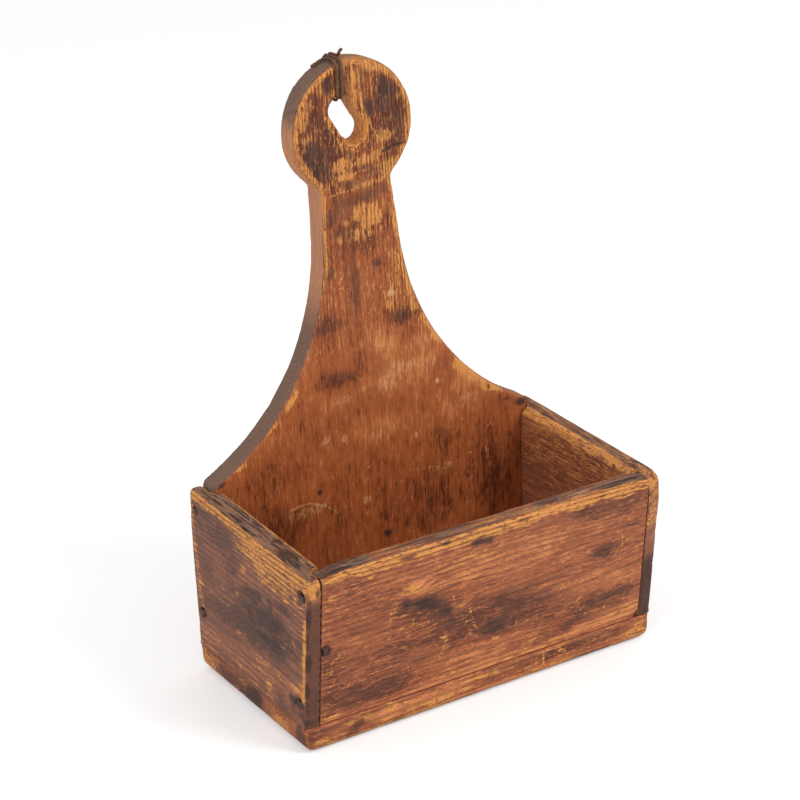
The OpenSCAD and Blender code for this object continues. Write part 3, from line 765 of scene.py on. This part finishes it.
FRONT_KNOTS = [(-65, 110, 16, 7, 7.0), (-25, 84, 14, 7, 8.0), (110, 88, 16, 8, 6.0)]
FRONT_WEAR = [
    (-105, 140, 30, 3.2, 0.8), (-82, 137, 13, 3.4, 0.95), (-50, 139, 20, 2.2, 0.75),
    (-10, 140.5, 26, 2.4, 0.9), (40, 139.5, 30, 3.2, 0.9), (84, 138, 14, 3.4, 0.85),
    (118, 138.5, 22, 5.5, 1), (-65, 110, 7.5, 5.5, 0.95), (-25, 84.5, 5.5, 3.8, 0.95, 10),
    (60, 25, 90, 3, 0.4, 3), (125, 32, 22, 7, 0.4, 10), (-132, 126, 8, 8, 0.4), (-20, 122, 30, 6, 0.38),
    (-126, 74, 3.5, 2, 0.8, 20), (7, 47, 6, 2, 0.7, -30), (-131, 24, 10, 3, 0.5),
]
FRONT_DARK = [
    (-52, 94, 26, 5.5, 0.95, -19), (-36, 84, 10, 6, 0.95, -10), (-32, 71, 13, 9, 0.72),
    (8, 57, 26, 7, 0.74, -2), (10, 54, 14, 4, 0.85), (35, 69, 28, 8, 0.5), (-10, 132.5, 11, 3.6, 0.95, -3),
    (-72, 138.5, 10, 2, 0.7), (-38, 140, 5, 2, 0.8), (102, 90, 9, 5, 0.72), (-96, 30, 12, 5, 0.72, -10),
    (-116, 36, 18, 8, 0.5), (-80, 38, 14, 8, 0.52), (108, 49, 30, 5, 0.55, 4), (78, 37, 18, 4, 0.5, 6),
    (-110, 92, 22, 8, 0.42), (10, 80, 95, 1.6, 0.5), (-115, 60, 3.5, 2.4, 0.75), (110, 128, 26, 3, 0.5, 6),
    (30, 140, 8, 1.4, 0.7), (118, 124, 18, 2, 0.5, 4), (-137, 82, 9, 3.4, 0.75), (137, 20.5, 3.5, 4, 0.9),
    (20, 84, 70, 5, 0.38, -1), (-118, 123, 4, 2.4, 0.6), (96, 35, 40, 3, 0.4), (84, 97, 2, 1.5, 0.6),
    (-60, 50, 30, 8, 0.36), (60, 130, 30, 3, 0.4, 3),
]
FRONT_TONE = [
    (-50, 90, 44, 13, -0.24, -14), (8, 64, 54, 18, -0.24, -4), (-98, 36, 46, 14, -0.24),
    (100, 48, 46, 10, -0.18, 3), (112, 128, 36, 8, -0.2), (10, 112, 66, 14, 0.12), (-18, 36, 44, 9, 0.1),
    (112, 30, 40, 8, 0.2, 6), (-10, 24, 140, 4, 0.2, 1), (96, 68, 34, 9, 0.12), (-112, 106, 30, 12, -0.08),
    (-65, 110, 16, 8, 0.25), (-25, 84, 10, 6, 0.3), (60, 96, 50, 8, 0.06), (-90, 62, 40, 12, -0.1),
    (-130, 60, 12, 30, -0.12), (28, 42, 20, 8, 0.1), (-96, 128, 50, 5, -0.08), (104, 92, 18, 8, -0.2),
    (74, 34, 30, 5, -0.16, 8),
]
FRONT_PALE_LINES = [
    (-17, 83, -13, 68, 0.9, 0.8), (-13, 68, -8, 57, 1, 0.9), (-36, 57, -41, 42, 0.9, 0.8),
    (1, 49, 7, 46, 1.1, 0.8), (7, 46, 8, 41, 0.9, 0.7), (67, 74, 61, 65, 1.2, 0.85),
    (41, 60, 42, 38, 0.8, 0.7), (42, 33, 55, 31, 0.8, 0.7), (20, 119, 24, 102, 0.7, 0.6),
    (118, 101, 120, 90, 0.9, 0.8), (54, 117, 60, 121.5, 1.5, 0.95), (72, 60, 77, 48, 0.9, 0.6),
    (-130, 42, -122, 35, 1, 0.8), (-84, 97, -85, 86, 0.9, 0.6), (45, 67, 48, 60, 0.9, 0.75),
    (-35, 58, -40, 50, 0.8, 0.7), (-110, 48, -108, 40, 0.7, 0.6), (80, 80, 138, 79, 0.6, 0.5),
    (104, 52, 110, 44, 0.8, 0.6), (95, 46, 92, 40, 0.8, 0.5), (-70, 60, -64, 66, 0.7, 0.4),
    (-20, 45, -26, 36, 0.7, 0.45), (-112, 119, -100, 112, 0.7, 0.5), (88, 106, 92, 96, 0.6, 0.4),
    (-30, 42, -32, 36, 0.9, 0.6), (20, 66, 22, 58, 0.8, 0.5), (3, 80, 0, 90, 0.6, 0.35),
    (60, 95, 63, 84, 0.6, 0.35), (-96, 76, -88, 80, 0.7, 0.4), (130, 60, 126, 70, 0.7, 0.5),
]


def front_relief(co, f, edge, broken):
    """How deep the front board is worn: chips, hollows, splits in its top, and raised rings."""
    chips = smooth(0.58, 0.8, noise(co, (14, 5, 5), 66, 3))
    ridge = raised(f.ring, 3.6, co, (30, 4, 4), 64)
    depth = chipping(co, edge * f.guard, 61, 0.9) + planing(co, (80, 22, 22), 62, 0.35)
    depth += 0.7 * f.top * smooth(0.5, 0.8, noise(co, (34, 2.4, 2.4), 65, 2))
    depth += 1.2 * smooth(0.2, 0.7, edge) * f.guard * chips * smooth(125, 135, f.z)
    depth += 0.55 * f.top * ridge + 0.09 * f.front * ridge
    depth += 0.4 * f.face.scratch(0, FRONT_PALE_LINES)
    return depth + 2.6 * broken * (f.front + edge)


def work_front(co, no, edge, near, spot):
    x, y, z = co.T
    front = smooth(0.4, 0.8, no @ FRONT_N)
    top = smooth(0.55, 0.9, no[:, 2]) * smooth(120, 130, z)
    inner = smooth(0.4, 0.8, -(no @ FRONT_N))
    guard = 0.12 + 0.88 * seam_guard(co, [(0, -JOINT_X), (0, JOINT_X), (2, SEAM_Z)])
    ring = pith_distance(z, y - front_y(z), 62, 26, co, (150, 30, 30), 63, 9.0, FRONT_KNOTS, (x, z))
    face = Face(co, x, z, front)
    f = SimpleNamespace(z=z, front=front, face=face, top=top, guard=guard, ring=ring)

    wear = 0.1 + 0.2 * noise(co, (60, 20, 14), 52, 3)
    wear = face.paint(wear, FRONT_WEAR, 53)
    upper = smooth(133, 138, z + 15 * (noise(co, (15, 8, 8), 54, 4) - 0.5))
    wear = np.maximum(wear, 0.84 * upper * (1 - top))
    wear = np.maximum(wear, 0.6 * edge * guard)
    wear = wear * (1 - 0.5 * inner)
    pale_lines = FRONT_PALE_LINES + small_scratches(130, (-136, 136, 24, 130), 5)
    wear = face.scratch(wear, pale_lines)
    wear = np.where(top > 0.4, np.maximum(wear, 0.58), wear)

    dark = 0.02 + 0.16 * noise(co, (50, 16, 12), 55, 3)
    dark = face.paint(dark, FRONT_DARK, 56)
    dark = np.maximum(dark, spot)
    # painted shade on the inner face, inside the box
    dark = np.maximum(dark, 0.42 * inner)
    patchy = smooth(0.5, 0.75, noise(co, (20, 7, 7), 57, 3))
    dark = np.maximum(dark, top * 0.95 * patchy * (0.6 + 0.4 * smooth(90, 130, np.abs(x))))
    seam = np.minimum(np.abs(np.abs(x) - JOINT_X), np.abs(z - SEAM_Z))
    dark = np.maximum(dark, 0.85 * joint_line(seam))
    # the broken lower corner at the right
    broken = 1 - smooth(0.55, 1.0, np.hypot((x - 141) / 6.5, (z - 18.5) / 9.5))
    dark = np.maximum(dark, 0.9 * broken * smooth(0.4, 0.9, edge))

    grey = top * (0.5 + 0.7 * (noise(co, (30, 8, 8), 58, 3) - 0.5) + 0.22 * smooth(60, 130, np.abs(x)))
    dust = 0.5 * top * smooth(0.55, 0.8, noise(co, (40, 5, 5), 59, 2))
    soft = guard * (0.45 + 0.55 * smooth(120, 132, z)) * (1 - 0.4 * inner)
    tone = face.shade(FRONT_TONE, 67)
    # the top's two ends dip
    moved = np.zeros_like(co)
    moved[:, 2] = -2.2 * smooth(124, 141, np.abs(x)) * smooth(128, 143, z)
    marks = (wear, dark, grey, dust, ring, 1 - 0.5 * inner, tone)
    return front_relief(co, f, edge, broken), soft, marks, moved


# -- sides: (y, z) on the outer face

LEFT_WEAR = [
    (25, 149.5, 60, 3.4, 1, 3), (60, 150, 20, 3.4, 0.95, 2), (-50, 145.5, 36, 4, 0.9, 4),
    (-45, 133, 46, 12, 0.74), (-50, 122, 40, 8, 0.66), (-10, 132, 20, 10, 0.5), (-90, 140, 10, 9, 0.8),
    (-92, 95, 3.6, 16, 0.85, 3), (-88, 72, 3.4, 14, 0.85, 6), (-82, 52, 5, 8, 0.8), (-70, 50, 9, 4, 0.55),
    (-30, 34, 4.5, 4, 0.7), (45, 38, 4, 4, 0.65), (-3, 117, 4.5, 3.5, 0.8), (55, 128, 4, 4, 0.55),
    (74, 100, 3.5, 40, 0.5), (72, 75, 5, 10, 0.6), (10, 91, 2.4, 2.4, 0.7), (60, 26, 24, 2.6, 0.5),
    (-20, 26, 30, 2.6, 0.4), (-25, 50, 30, 6, 0.36), (14, 30, 2.5, 2.5, 0.8), (-20, 46, 5, 7, 0.45, 60),
    (76, 130, 3, 20, 0.6),
]
LEFT_DARK = [
    (-28, 86, 46, 15, 0.86, -6), (-35, 72, 32, 9, 0.86), (-12, 100, 30, 6, 0.8, -8),
    (-56, 107, 20, 5, 0.8, -6), (0, 74, 32, 12, 0.68), (35, 126, 40, 18, 0.56), (55, 140, 22, 10, 0.6),
    (40, 62, 34, 14, 0.54), (14, 112, 14, 16, 0.6), (-72, 78, 10, 6, 0.6), (60, 96, 20, 20, 0.5),
    (20, 50, 60, 5, 0.46), (-75, 31, 12, 5, 0.75), (-82, 27, 8, 5, 0.7), (-71, 39, 10, 6, 1),
    (72, 51, 6, 5, 0.9), (-87, 130, 6, 4, 0.9), (64, 112, 16, 4, 0.52), (-35, 124, 30, 1, 0.55),
    (-50, 136, 36, 0.9, 0.5),
]
LEFT_TONE = [
    (-30, 130, 60, 16, 0.1), (-30, 84, 60, 22, -0.25, -5), (40, 130, 44, 16, -0.14), (0, 42, 80, 14, 0.12),
    (50, 90, 36, 18, 0.02), (-70, 50, 16, 12, 0.2), (60, 34, 26, 8, 0.18), (20, 66, 60, 10, -0.16),
    (-70, 97, 18, 6, 0.16), (50, 108, 20, 10, 0.06),
]
# The left side's front end, in (x, z)
LEFT_LIP_DARK = [
    (-150.5, 113, 3.6, 13, 1), (-151, 95, 2.6, 10, 0.85), (-150.5, 74, 3.8, 14, 1),
    (-151, 54, 3.4, 10, 0.95), (-150, 38, 4, 8, 0.8), (-146, 26, 9, 6, 0.85), (-143, 132, 2.4, 5, 0.6),
    (-142, 70, 2, 20, 0.5),
]
LEFT_PALE_LINES = [
    (-49, 90, -50, 64, 0.9, 0.5), (-46, 80, -44, 68, 0.8, 0.45), (-20, 56, -24, 40, 0.8, 0.5),
    (-12, 96, 6, 86, 0.7, 0.45), (30, 108, 42, 104, 0.7, 0.4), (-66, 48, -56, 42, 0.9, 0.6),
    (70, 132, 62, 128, 0.8, 0.6), (50, 120, 60, 118, 0.8, 0.5), (-75, 56, -80, 44, 0.9, 0.6),
    (-30, 64, -10, 60, 0.7, 0.4), (40, 88, 52, 82, 0.7, 0.35), (0, 60, 8, 52, 0.7, 0.35),
]


def left_marks(co, no, f, wear, dark):
    """The left side's outer face and front end, as the photograph shows them."""
    wear = f.face.paint(wear, LEFT_WEAR, f.seed + 4)
    dark = f.face.paint(dark, LEFT_DARK, f.seed + 5)
    pale_lines = LEFT_PALE_LINES + small_scratches(60, (-90, 76, 24, 140), 6)
    wear = f.face.scratch(wear, pale_lines)
    # the arris between them is rubbed to the wood
    behind = f.y - front_y(f.z)
    arris = smooth(7.5, 4.0, behind + 4 * f.jag) * smooth(38, 46, f.z) * smooth(116, 108, f.z)
    off_lip = 1 - smooth(0.55, 0.8, f.lip)
    wear = np.maximum(wear, 0.92 * arris * off_lip)
    dark = dark * (1 - 0.8 * arris * off_lip)
    front_end = Face(co, f.x, f.z, 1.1 * smooth(0.2, 0.6, no @ FRONT_N))
    dark = front_end.paint(dark, LEFT_LIP_DARK, f.seed + 6)
    dark = np.maximum(dark, f.lip * (0.84 + 0.2 * f.rough) * smooth(130, 120, f.z))
    wear = np.maximum(wear * (1 - 0.6 * f.lip), f.lip * 0.9 * smooth(120, 132, f.z + 10 * f.jag))
    tone = f.face.shade(LEFT_TONE, f.seed + 16)
    return wear, dark, np.zeros(len(co)), tone


def right_marks(co, f, wear, dark):
    """The right side is seen from inside and from the front only: its outer face has wear of
    the same kinds in places of its own."""
    worn = smooth(0.5, 0.8, noise(co, (10, 50, 12), f.seed + 4, 3))
    stained = smooth(0.45, 0.7, noise(co, (14, 46, 18), f.seed + 5, 3))
    wear = np.maximum(wear, f.outer * 0.7 * worn)
    dark = np.maximum(dark, f.outer * 0.85 * stained)
    dark = np.maximum(dark, f.lip * (0.85 * smooth(80, 66, f.z + 10 * f.jag) + 0.35))
    wear = np.maximum(wear, f.lip * (0.5 * smooth(84, 100, f.z) + 0.3 * smooth(128, 138, f.z)))
    dust = f.lip * blob(f.x, f.z, (146, 36, 3, 3), 0.8 * f.jag)
    dust = np.maximum(dust, 0.9 * f.lip * blob(f.x, f.z, (143.5, 114, 1.5, 3), 0.5 * f.jag))
    tone = 0.3 * f.outer * (noise(co, (20, 50, 20), f.seed + 15, 3) - 0.5)
    return wear, dark, dust, tone


def side_relief(co, f, edge, near):
    """How deep a side board is worn: chips, hollows, raised rings and splits in its top."""
    ridge = raised(f.ring, 4.1, co, (4, 30, 4), f.seed + 12)
    chips = smooth(0.55, 0.8, noise(co, (5, 13, 5), f.seed + 19, 3))
    depth = chipping(co, edge * f.guard, f.seed + 9, 0.95) + planing(co, (22, 80, 22), f.seed + 10, 0.35)
    depth += 0.4 * f.top * ridge + 0.16 * f.outer * ridge * smooth(100, 120, f.z)
    depth += 0.9 * f.top * smooth(0.48, 0.78, noise(co, (2.4, 34, 2.4), f.seed + 14, 2))
    depth += 1.5 * smooth(0.1, 0.5, near) * f.guard * chips * smooth(125, 136, f.z)
    # the broken front top corner
    broken = smooth(132, 143, f.z) * smooth(-76, -94, f.y)
    depth += broken * edge * 1.6 * smooth(0.35, 0.7, noise(co, 5, f.seed + 13, 2))
    return depth + 0.4 * f.face.scratch(0, LEFT_PALE_LINES)


def round_corner(co, f, radius):
    """How far the front top corner is moved in to a round of this radius, and its excess there."""
    radius = radius + 3 * (noise(co, 7, f.seed + 21, 2) - 0.5)
    centre_z = CORNER_Z - radius
    centre_y = front_y(centre_z) + 1.01 * radius
    dy, dz = np.minimum(f.y - centre_y, 0), np.maximum(f.z - centre_z, 0)
    reach = np.hypot(dy, dz)
    over = np.where((dy < 0) & (dz > 0), np.maximum(reach - radius, 0), 0)
    # the inner arris next to the front board keeps its height
    over = over * smooth(JOINT_X - 4, JOINT_X + 3, np.abs(f.x))
    moved = np.stack([np.zeros(len(co)), -dy, -dz], 1) * (over / np.maximum(reach, 1e-6))[:, None]
    return moved, over


def work_side(side, co, no, edge, near, spot):
    left = side == "left"
    sign = -1 if left else 1
    seed = 100 if left else 200
    x, y, z = co.T
    outer = smooth(0.4, 0.8, no[:, 0] * sign)
    inner = smooth(0.4, 0.8, -no[:, 0] * sign)
    top = smooth(0.6, 0.9, no[:, 2]) * smooth(130, 138, z)
    lip = smooth(0.4, 0.8, no @ FRONT_N)
    rough = noise(co, (6, 14, 6), seed + 1, 3)
    jag = rough - 0.5
    guard = 0.12 + 0.88 * seam_guard(co, [(2, SEAM_Z)])
    joint = np.abs(np.abs(x) - JOINT_X) < 3.0
    guard = np.where(joint & (lip > 0.3), guard * 0.15, guard)
    ring = pith_distance(z, np.abs(np.abs(x) - HALF_W), 58, 22, co, (30, 150, 30), seed + 11, 9.0)
    f = SimpleNamespace(x=x, y=y, z=z, outer=outer, face=Face(co, y, z, outer), top=top, lip=lip, rough=rough,
                        jag=jag, guard=guard, ring=ring, seed=seed)

    wear = 0.1 + 0.18 * noise(co, (14, 60, 14), seed + 2, 3)
    dark = 0.08 + 0.18 * noise(co, (12, 44, 12), seed + 3, 3)
    wear, dark, dust, tone = left_marks(co, no, f, wear, dark) if left else right_marks(co, f, wear, dark)
    # outer arris of the sloping top, and the inner one where hands wore it
    band = outer * smooth(134, 137, z - 0.044 * (y + 98) + 8 * jag)
    wear = np.maximum(wear, 0.95 * band)
    dark = dark * (1 - 0.85 * band)
    inner_edge = smooth(0.15, 0.6, -no[:, 0] * sign) * smooth(0.15, 0.6, no[:, 2]) * smooth(130, 138, z)
    inner_edge = inner_edge * (1 - 0.75 * smooth(0.52, 0.74, noise(co, (5, 16, 5), seed + 18, 3)))
    wear = np.maximum(wear, 0.9 * inner_edge)
    wear = np.maximum(wear, (0.3 if left else 0.68) * inner * smooth(50, 140, z + 40 * jag))
    wear = np.maximum(wear, 0.6 * edge * guard * (1 - 0.6 * top))
    wear = wear * (1 - 0.35 * inner * (1 - inner_edge))
    wear = np.maximum(wear, 0.78 * top)
    # painted shade on the inner faces, darker towards the bottom of the box
    dark = np.maximum(dark, 0.3 * inner * (1 - inner_edge) * (0.7 + 0.6 * rough) * smooth(110, 60, z))
    dust = np.maximum(dust, 0.5 * inner * smooth(0.55, 0.85, noise(co, (10, 26, 12), seed + 7, 3)))
    patchy = smooth(0.52, 0.74, noise(co, (7, 18, 7), seed + 8, 3))
    dark = np.maximum(dark, top * (1.02 * patchy) * (1 - inner_edge))
    dark = np.maximum(dark, spot)
    seam = joint_line(np.abs(z - SEAM_Z))
    seam = np.maximum(seam, lip * joint_line(np.abs(np.abs(x) - JOINT_X)))
    dark = np.maximum(dark, 0.85 * seam)
    grey = top * ((0.74 if left else 0.5) - 0.3 * jag) * (1 - inner_edge) * (1 - 0.4 * band)
    grey = np.maximum(grey, 0.4 * smooth(0.4, 0.8, no[:, 1]))
    line = 1 - 0.55 * inner - 0.35 * top - 0.8 * lip * smooth(134, 120, z)
    line = line * (1 - 0.7 * smooth(7, 3, y - front_y(z)))
    tone = tone + 0.4 * inner * (noise(co, (20, 50, 26), seed + 17, 4) - 0.1) + 0.3 * top

    moved, over = round_corner(co, f, 10.0 if left else 18.0)
    corner = smooth(0.0, 2.5, over)
    dark = np.maximum(dark, corner * 1.15 * smooth(0.48, 0.7, noise(co, 5, seed + 22, 3)))
    soft = guard * (0.3 + 0.7 * smooth(118, 136, z)) * (1 - 0.3 * inner)
    return side_relief(co, f, edge, near), soft, (wear, dark, grey, dust, ring, line, tone), moved


# -- bottom board: (x, z) on its front edge and (y, z) on its left end

FOOT_WEAR = [
    (-100, 16, 40, 3, 0.7, 1), (-50, 10, 50, 5, 0.5), (0, 16, 30, 3, 0.5), (60, 4, 70, 4, 0.55),
    (138, 8, 12, 9, 0.75), (-140, 6, 10, 6, 0.7), (-60, 3, 60, 3, 0.75), (60, 17, 40, 2, 0.45),
]
FOOT_DARK = [
    (-110, 10, 10, 6, 0.7, 30), (-148, 12, 5, 9, 0.6), (100, 3, 22, 2.6, 0.6), (30, 16, 24, 3, 0.45),
    (85, 17, 20, 2.6, 0.42), (-20, 1, 26, 2, 0.5), (120, 13, 18, 5, 0.4), (-128, 15, 14, 3, 0.5),
]
FOOT_PALE_LINES = [
    (52, 20, 53, 2, 1, 0.8), (67, 19, 75, 9, 1, 0.8), (-20, 8, -14, 3, 0.7, 0.5), (52, 6, 56, 2, 1, 0.6),
    (-62, 16, -58, 8, 0.7, 0.5), (110, 8, 114, 3, 0.7, 0.5),
]
FOOT_TONE = [
    (-60, 13, 70, 6, 0.2, 3), (-110, 8, 16, 8, -0.2), (90, 14, 40, 5, -0.2), (60, 4, 80, 4, 0.2),
    (20, 12, 30, 6, -0.1), (-30, 3, 50, 3, 0.14), (135, 10, 12, 8, 0.14), (-140, 12, 10, 8, -0.1),
]
END_DARK = [
    (-2, 11, 26, 12, 0.95), (34, 11, 18, 9, 0.72), (-72, 10, 9, 12, 0.78), (18, 14, 22, 7, 0.7),
]
END_WEAR = [
    (-45, 10, 16, 10, 0.75), (68, 10, 12, 12, 0.8), (0, 1.5, 80, 2.6, 0.7),
]


def work_bottom(co, no, edge, near, spot):
    x, y, z = co.T
    front = smooth(0.3, 0.7, -no[:, 1])
    left = smooth(0.3, 0.7, np.abs(no[:, 0])) * (x < 0)
    under = smooth(0.5, 0.9, -no[:, 2])
    above = smooth(0.5, 0.9, no[:, 2])
    guard = 0.15 + 0.85 * seam_guard(co, [(2, SEAM_Z)])
    face = Face(co, x, z, front)
    end = Face(co, y, z, left)

    wear = 0.2 + 0.16 * noise(co, (40, 20, 8), 152, 2)
    wear = face.paint(wear, FOOT_WEAR, 153)
    wear = end.paint(wear, END_WEAR, 154)
    wear = np.maximum(wear, 0.75 * edge * guard)
    low = smooth(7, 1.5, z + 3 * (noise(co, (16, 8, 6), 151, 3) - 0.5)) * (1 - under)
    wear = np.maximum(wear, 0.8 * low)
    wear = face.scratch(wear, FOOT_PALE_LINES + small_scratches(24, (-146, 146, 3, 19), 9))
    dark = 0.1 + 0.16 * noise(co, (30, 16, 8), 155, 2)
    dark = face.paint(dark, FOOT_DARK, 156)
    dark = end.paint(dark, END_DARK, 157)
    dark = np.maximum(dark, spot)
    # painted shade on the box's inside floor
    dark = np.maximum(dark, 0.4 * above)
    dark = np.maximum(dark, under * 0.6 * smooth(0.4, 0.7, noise(co, (60, 40, 9), 158, 3)))
    dark = np.maximum(dark, 0.85 * joint_line(np.abs(z - SEAM_Z)) * (1 - above))
    grey = 0.5 * under + 0.3 * smooth(0.4, 0.8, no[:, 1])
    dust = 0.45 * above * smooth(0.5, 0.8, noise(co, (30, 20, 9), 159, 3))

    depth = chipping(co, edge * guard, 161, 0.8) + planing(co, (80, 24, 24), 162, 0.3)
    depth += 0.7 * low * noise(co, (9, 9, 5), 163, 2)
    ring = pith_distance(z, y, -46, 12, co, (150, 30, 30), 164, 8.0)
    tone = face.shade(FOOT_TONE, 165)
    return depth, 0.25 * guard, (wear, dark, grey, dust, ring, 1 - 0.5 * above, tone), 0.0


RED = (rgb(86, 40, 20), rgb(166, 88, 44), rgb(212, 134, 78))
BROWN = (rgb(94, 50, 34), rgb(164, 92, 56), rgb(214, 134, 82))
UMBER = (rgb(78, 50, 40), rgb(138, 84, 60), rgb(182, 114, 76))
OCHRE = (rgb(188, 112, 52), rgb(240, 170, 90))

dress("worn_back_board", "back_board", 1.3,
      old_pine("back_pine", "Z", RED, OCHRE, (3, 5, 7), 2.5, 0.5, fine=0.85), work_back)
dress("worn_front_board", "front_board", 1.0,
      old_pine("front_pine", "X", BROWN, OCHRE, (31, 2, 9), 3.6, 0.55), work_front)
dress("worn_left_side", "left_side", 0.95,
      old_pine("left_pine", "Y", UMBER, OCHRE, (5, 40, 2), 4.1, 0.7),
      partial(work_side, "left"))
dress("worn_right_side", "right_side", 0.95,
      old_pine("right_pine", "Y", UMBER, OCHRE, (15, 4, 22), 4.1, 0.6),
      partial(work_side, "right"))
dress("worn_bottom_board", "bottom_board", 1.15,
      old_pine("bottom_pine", "X", BROWN, OCHRE, (1, 14, 42), 3.4, 0.45), work_bottom)

# ---- nails and lace

IRON = rusty_iron("rusty_iron")
STAINED_IRON = rusty_iron("stained_iron", rgb(66, 46, 38), rgb(124, 88, 68))
for node in sorted(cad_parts):
    if "nail" not in node:
        continue
    ob = node_copy("forged_" + node, [node], 0.45)
    co, no, _ = read(ob)
    lumps = 0.5 * noise(co, 1.6, 71, 3) + 0.35 * noise(co, 4, 72)
    write(ob, co - no * (0.55 * lumps)[:, None], *box_of(node), {})
    ob.data.materials.append(STAINED_IRON if node == "left_back_nails" else IRON)
    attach(ob, "root")
    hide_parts(node)

lace = node_copy("leather_lace", ["hanging_lace"], 0.28)
co, no, _ = read(lace)
folds = smooth(0.45, 0.85, noise(co, (1.1, 1.1, 5.0), 81, 3))
shrunk = 0.5 * folds + 0.12 * noise(co, 0.7, 82, 2)
write(lace, co - no * shrunk[:, None], *box_of("hanging_lace"), {})
lace.data.materials.append(dry_leather("dry_leather"))
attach(lace, "root")
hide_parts("hanging_lace")

# ---- floor, backdrop and light

def white_sweep():
    """Grey paper that glows for the camera alone, so that it looks white and keeps its shadow."""
    n = Net(bpy.data.materials.new("white_sweep"))
    paper = n.node("BsdfDiffuse")
    paper.inputs["Color"].default_value = (0.86, 0.86, 0.86, 1)
    glow = n.node("Emission")
    n.put(glow.inputs["Strength"], n.times(n.ray("Is Camera Ray"), 0.3))
    both = n.node("AddShader")
    n.put(both.inputs[0], paper.outputs[0])
    n.put(both.inputs[1], glow.outputs[0])
    return n.close("OutputMaterial", both.outputs[0])


def stage_floor():
    me = bpy.data.meshes.new("floor")
    s, z = 6.0, -0.0004
    me.from_pydata([(-s, -s, z), (s, -s, z), (s, s, z), (-s, s, z)], [], [(0, 1, 2, 3)])
    me.materials.append(white_sweep())
    ob = bpy.data.objects.new("floor", me)
    bpy.context.collection.objects.link(ob)


def sky():
    """White for the camera, and an even soft light for everything else."""
    n = Net(bpy.data.worlds.new("studio"))
    pick = n.node("MixShader")
    n.put(pick.inputs[0], n.ray("Is Camera Ray"))
    for socket, strength in ((pick.inputs[1], 0.74), (pick.inputs[2], 1.0)):
        light = n.node("Background")
        light.inputs["Strength"].default_value = strength
        light.inputs["Color"].default_value = (1, 1, 1, 1)
        n.put(socket, light.outputs[0])
    bpy.context.scene.world = n.close("OutputWorld", pick.outputs[0])


def lamp(name, place, aim, size, watts):
    data = bpy.data.lights.new(name, "AREA")
    data.shape, data.size, data.energy = "DISK", size, watts
    ob = bpy.data.objects.new(name, data)
    ob.location = place
    away = Matrix.Translation(place).translation - Matrix.Translation(aim).translation
    ob.rotation_mode = "QUATERNION"
    ob.rotation_quaternion = away.to_track_quat("Z", "Y")
    bpy.context.collection.objects.link(ob)


stage_floor()
sky()
lamp("key", (0.9, -1.7, 1.7), (0, 0, 0.15), 0.9, 21)
lamp("fill", (-2.0, -0.9, 1.3), (0, 0, 0.2), 1.2, 13)

bpy.context.scene.view_settings.view_transform = "Standard"
